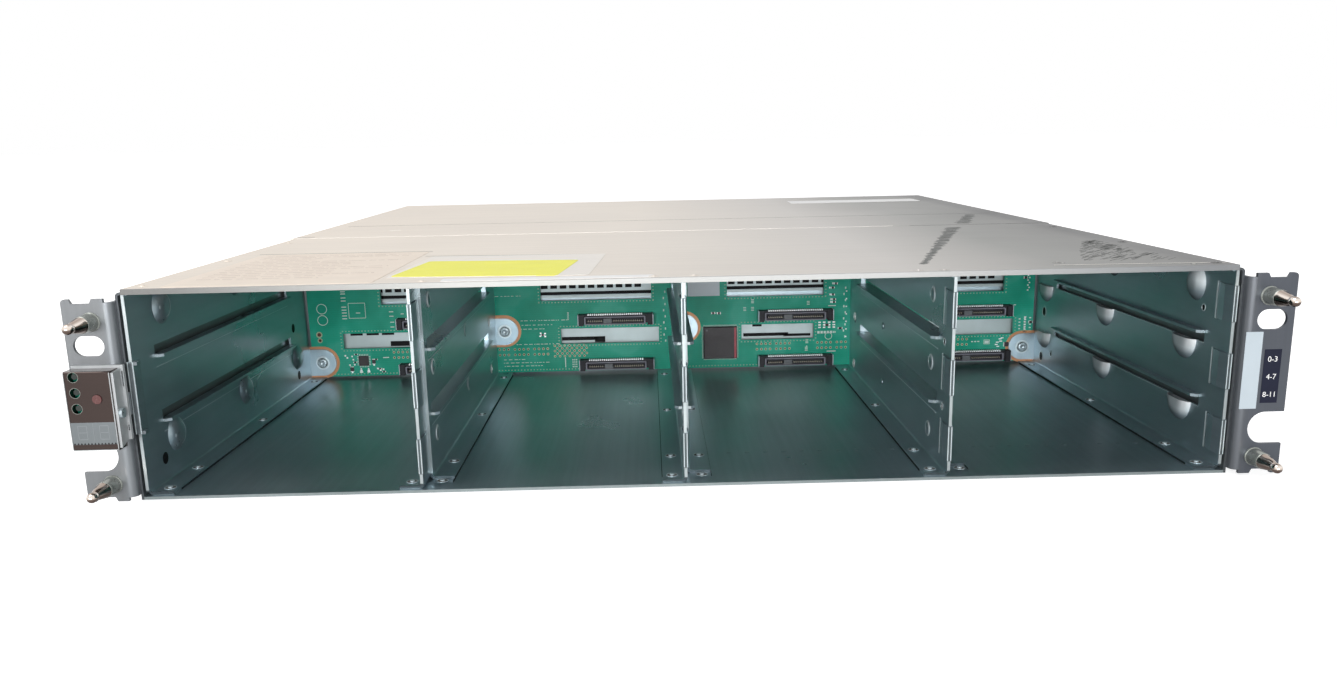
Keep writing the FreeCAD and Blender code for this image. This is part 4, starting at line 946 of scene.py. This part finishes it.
# -------- cover
def sticker(name, centre, size, turn=0, thick=0.12, look=None):
    """Label lying flat on the cover, with rounded corners."""
    half_x, half_y = size[0] / 2, size[1] / 2
    corner, steps = min(2, half_y / 3), 4
    points = []
    for quarter, (side_x, side_y) in enumerate(((1, 1), (-1, 1), (-1, -1), (1, -1))):
        for step in range(steps + 1):
            angle = (quarter + step / steps) * math.pi / 2
            point = Vector((side_x * (half_x - corner) + corner * math.cos(angle),
                            side_y * (half_y - corner) + corner * math.sin(angle)))
            points.append(Matrix.Rotation(turn, 2) @ point + Vector(centre))
    Form(name, "cover_steel", look or name).plate(points, cover_top - 0.01, cover_top + thick, axis=2)


def cover_labels():
    """Bare stickers on the cover, where the product's own are."""
    sticker("cream_label", (-164.5, deep(62)), (83, 118))
    sticker("clear_label", (-77.5, deep(55)), (83, 80), -0.05)
    sticker("yellow_label", (-82.5, deep(44)), (69, 55), -0.1, 0.25)
    sticker("edge_label", (-54, deep(5.6)), (84, 7.5), look="white_label")
    sticker("rear_label", (152.5, deep(460)), (103, 30), look="white_label")


def cover_marks():
    """Seam fold, worn lines, smudges and small marks of the cover; painted light on the seam fold and at the
    clinches.
    """
    bright = Form("wear_and_highlight_lines", "cover_steel", "wear_and_highlight")
    smudges_and_shade = Form("smudges_and_shade", "cover_steel", "scuffs_and_shade")
    rules = Form("label_rules", "cover_steel", "print_ink")

    def line(form, start, end, width, lift=0.06):
        start, end = Vector(start), Vector(end)
        across = (end - start).orthogonal().normalized() * width / 2
        corners = (start - across, end - across, end + across, start + across)
        form.plate([(x, deep(y)) for x, y in corners], cover_top - 0.02, cover_top + lift, axis=2)

    # Painted light along the seam fold: a highlight from the left to 130, painted shade from 140 to the
    # right.
    for form, start, end, width in (
            (bright, (-219, 214.6), (130, 214.6), 1.2), (bright, (-175, 258), (-169, 262), 2.2),
            (bright, (150, 11.5), (219, 8.8), 0.5), (smudges_and_shade, (-221.5, 222.8), (-211, 222.3), 0.9),
            (smudges_and_shade, (140, 214), (219, 214), 0.7), (smudges_and_shade, (-212, 300), (219, 300), 0.35),
            (smudges_and_shade, (-209, 124.5), (-122, 122.4), 0.5), (smudges_and_shade, (-121, 99.5), (-37.9, 93.4), 0.5),
            (smudges_and_shade, (150, 10.4), (219, 7.6), 0.35)):
        line(form, start, end, width)
    # Painted shade with a painted highlight on each clinch of the cover.
    for x, y in ((213.3, 184.7), (215.1, 95.2), (213.5, 6.7), (203.8, 5.1), (155.7, 17.9)):
        line(smudges_and_shade, (x - 1.1, y), (x + 1.1, y), 1.6)
        line(bright, (x - 0.6, y), (x + 0.6, y), 0.9, 0.09)
    random.seed(11)
    for start, end, wide, narrow in (((161, 196), (100, 23), 4.6, 1.3),
                                     ((173.5, 221.5), (198.5, 291), 5, 3.4)):
        first, last = Vector(start), Vector(end)
        count = int((last - first).length / 3.4)
        for index in range(count):
            at = first.lerp(last, (index + 0.5) / count)
            half = (wide + (narrow - wide) * index / count) * random.uniform(0.6, 1.1)
            line(smudges_and_shade, (at.x - half, at.y), (at.x + half, at.y + random.uniform(-1, 3)), 2.5)
    for _ in range(190):
        y = random.uniform(24, 104)
        x = random.uniform(166 + (y - 24) * 0.42, 205)
        reach = random.uniform(2, 7)
        width = random.uniform(0.3, 0.6)
        line(smudges_and_shade, (x - reach / 2, y - reach * 0.5), (x + reach / 2, y + reach * 0.6), width)
    for row in range(15):
        x, y = -200, 24 + row * 6.2
        end = random.choice((-170, -150, -130, -130))
        while x < end:
            width = random.uniform(2, 8)
            line(rules, (x, y), (min(x + width, end), y), 0.8, 0.15)
            x += width + random.uniform(0.8, 2)


# -------- ears and studs
def smooth_studs():
    """Turned studs that hold the bezel: a satin collar and a polished tip with a ball."""
    form = Form("turned_studs", "stud_nickel", "stud_collar", "nickel", smooth=30, stands_for="bezel_studs")
    low, high = node_box("bezel_studs")
    radius = 3.8
    collar = [(0, 0), (0, radius), (0.5, radius), (0.75, 3.5), (7.6, 3.28), (7.8, 3.15)]
    tip = [(7.8, 3.15), (8.1, 3.05), (9, 3), (13.4, 2.15), (14.4, 1.86), (14.8, 1.78), (15.1, 1.82),
           (15.6, 1.94), (16.3, 2), (17.1, 1.98), (17.8, 1.8), (18.4, 1.42), (18.8, 0.85), (19, 0.35),
           (19, 0)]
    for x, z in product((low.x + radius, high.x - radius), (low.z + radius, high.z - radius)):
        for material, profile in enumerate((collar, tip)):
            form.turned((x, high.y, z), TO_FRONT, profile, 40, material)


def ear_labels():
    """Bay-number label and a bare sticker on the right ear."""
    front = node_box("rack_ear_right")[0].y
    half_width = 3.45
    Form("ear_sticker", "ear_steel", "silver_label").bar(226.05, half_width, (front - 0.12, front + 0.02),
                                                         (28.1, 59.6), 0.05)
    Form("bay_number_label", "ear_steel", "navy_label").bar(234.25, half_width, (front - 0.15, front + 0.02),
                                                            (30.4, 52.4), 0.05)


def bay_numbers():
    """Raised digits on the bay-number label."""
    front = node_box("rack_ear_right")[0].y
    for index, (text, z) in enumerate((("0-3", 47.4), ("4-7", 40.2), ("8-11", 32.9))):
        name = "bay_numbers_%d" % index
        curve = bpy.data.curves.new(name, "FONT")
        curve.body, curve.align_x = text, "CENTER"
        curve.size, curve.extrude = 3.1 * MM, 0.03 * MM
        curve.materials.append(looks["white_label"])
        ride(placed(name, curve, Vector((234.3, front - 0.17, z)) * MM, (math.pi / 2, 0, 0)))


def panel_details():
    """Rims, digits and painted edge highlights of the small operator panel."""
    low, high = node_box("panel_housing")
    lens_low, lens_high = node_box("display_window")
    face, lens_y = low.y, lens_low.y
    rims = Form("panel_rims", "panel_bracket_paint", "stud_collar")
    edge_highlights = Form("panel_edge_highlights", "panel_bracket_paint", "pale_plate_and_highlights")
    digits = Form("display_digits", "display_lens", "faint_digit")
    teeth = Form("display_teeth", "display_black", "black_parts_and_shade")
    lamp_x, first_lamp_z, lamp_pitch = low.x + 3.9, 41.5, 6.25
    for index in range(3):
        rims.ring((lamp_x, face + 0.02, first_lamp_z + index * lamp_pitch), TO_FRONT, 1.95, 2.08, 0.08, 28)
    # Painted highlights along the edges of the mirror housing.
    for x in (low.x + 0.1, high.x - 0.4):
        edge_highlights.block((x, face - 0.1, low.z + 0.5), (x + 0.3, face + 0.3, high.z - 0.5), 0.05)
    edge_highlights.block((low.x + 0.4, face - 0.1, low.z + 0.1), (high.x - 0.4, face + 0.3, low.z + 0.4), 0.05)
    centre = middle(lens_low, lens_high)
    digits.bar(centre.x, 0.12, (lens_y - 0.06, lens_y + 0.05), (lens_low.z + 0.8, lens_high.z - 0.3), 0.02)
    half_bar, reach_x, reach_z, digit_ys = 0.16, 1.7, 2.7, (lens_y - 0.04, lens_y + 0.03)
    for x in (centre.x - 4.2, centre.x + 4.2):
        z = centre.z + 0.4
        for up in (z - reach_z, z, z + reach_z):
            digits.bar(x, reach_x, digit_ys, (up - half_bar, up + half_bar), 0.02)
        for across in (x - reach_x, x + reach_x):
            digits.bar(across, half_bar, digit_ys, (z - reach_z, z + reach_z), 0.02)
    tooth_count, root, tip = 13, lens_low.z + 0.05, lens_low.z + 0.75
    for index in range(tooth_count):
        x = lens_low.x + (index + 0.5) * (lens_high.x - lens_low.x) / tooth_count
        teeth.plate([(x - 0.45, root), (x + 0.45, root), (x, tip)], lens_y - 0.05, lens_y + 0.05)


# -------- studio
def build_stage():
    """Pale floor and white surroundings."""
    mesh = bpy.data.meshes.new("floor")
    reach = 30
    mesh.from_pydata([(-reach, -reach, 0), (reach, -reach, 0), (reach, reach, 0), (-reach, reach, 0)],
                     [], [(0, 1, 2, 3)])
    floor = placed("floor", mesh, (0, 0, cad_bounds[0][2] - 0.0002))
    tree = new_look("floor_paper")
    shader = tree.nodes["Principled BSDF"].inputs
    shader["Roughness"].default_value = 0.9
    shader["Emission Color"].default_value = rgba(1)
    feed(tree, shader["Base Color"], ramp(tree, noise(tree, 700), {0.3: 0.9, 0.7: 0.93}))
    seen = add(tree, "LightPath").outputs["Is Camera Ray"]
    feed(tree, shader["Emission Strength"], remap(tree, seen, (0, 1), (0, 0.66)))
    mesh.materials.append(looks["floor_paper"])
    world = bpy.data.worlds.new("studio")
    bpy.context.scene.world = world
    world.use_nodes = True
    tree = world.node_tree
    background = tree.nodes["Background"].inputs
    background["Color"].default_value = rgba(1)
    path = add(tree, "LightPath").outputs
    shown = path["Is Camera Ray"]
    for ray in ("Is Glossy Ray", "Is Transmission Ray"):
        shown = add(tree, "Math", {0: shown, 1: path[ray]}, operation="MAXIMUM").outputs["Value"]
    feed(tree, background["Strength"], remap(tree, shown, (0, 1), (0.38, 1)))


def area_light(name, place, target, size, power):
    """Soft rectangular lamp aimed at a point."""
    lamp = bpy.data.lights.new(name, "AREA")
    lamp.shape = "RECTANGLE"
    lamp.size, lamp.size_y = size
    lamp.energy = power
    placed(name, lamp, place, (Vector(target) - Vector(place)).to_track_quat("-Z", "Y").to_euler())


def build_camera():
    """Camera in front of the shelf and above it, a little to the left of its middle."""
    data = bpy.data.cameras.new("camera")
    data.lens, data.sensor_width = 28.89, 36
    data.shift_y = 0.0229
    data.clip_start = 0.01
    bpy.context.scene.camera = placed("camera", data, (-0.01345, -0.66984, 0.13947),
                                      (math.pi / 2 - 0.223, 0.01974, -0.01985))


build_camera()
build_stage()
area_light("front", (-0.15, -1.75, 0.26), (0, 0, 0.03), (1.3, 0.4), 19)
area_light("top", (-0.7, -0.2, 1.7), (0, 0.1, 0.04), (1.2, 1.2), 16)

finish_nodes()
for build in (copper_lands, vias, dotted_lines, silkscreen, small_parts, chip_details, board_label,
              socket_details, bulkhead_details, wall_domes, dome_glints, wall_scoops, slot_rim_highlights, clip_edges,
              board_screws, clinches, flange_shadows, floor_bumps, sheet_marks, cover_labels, cover_marks,
              smooth_studs, ear_labels, bay_numbers, panel_details):
    build()
    make_pieces()

bpy.context.scene.view_settings.view_transform = "Standard"
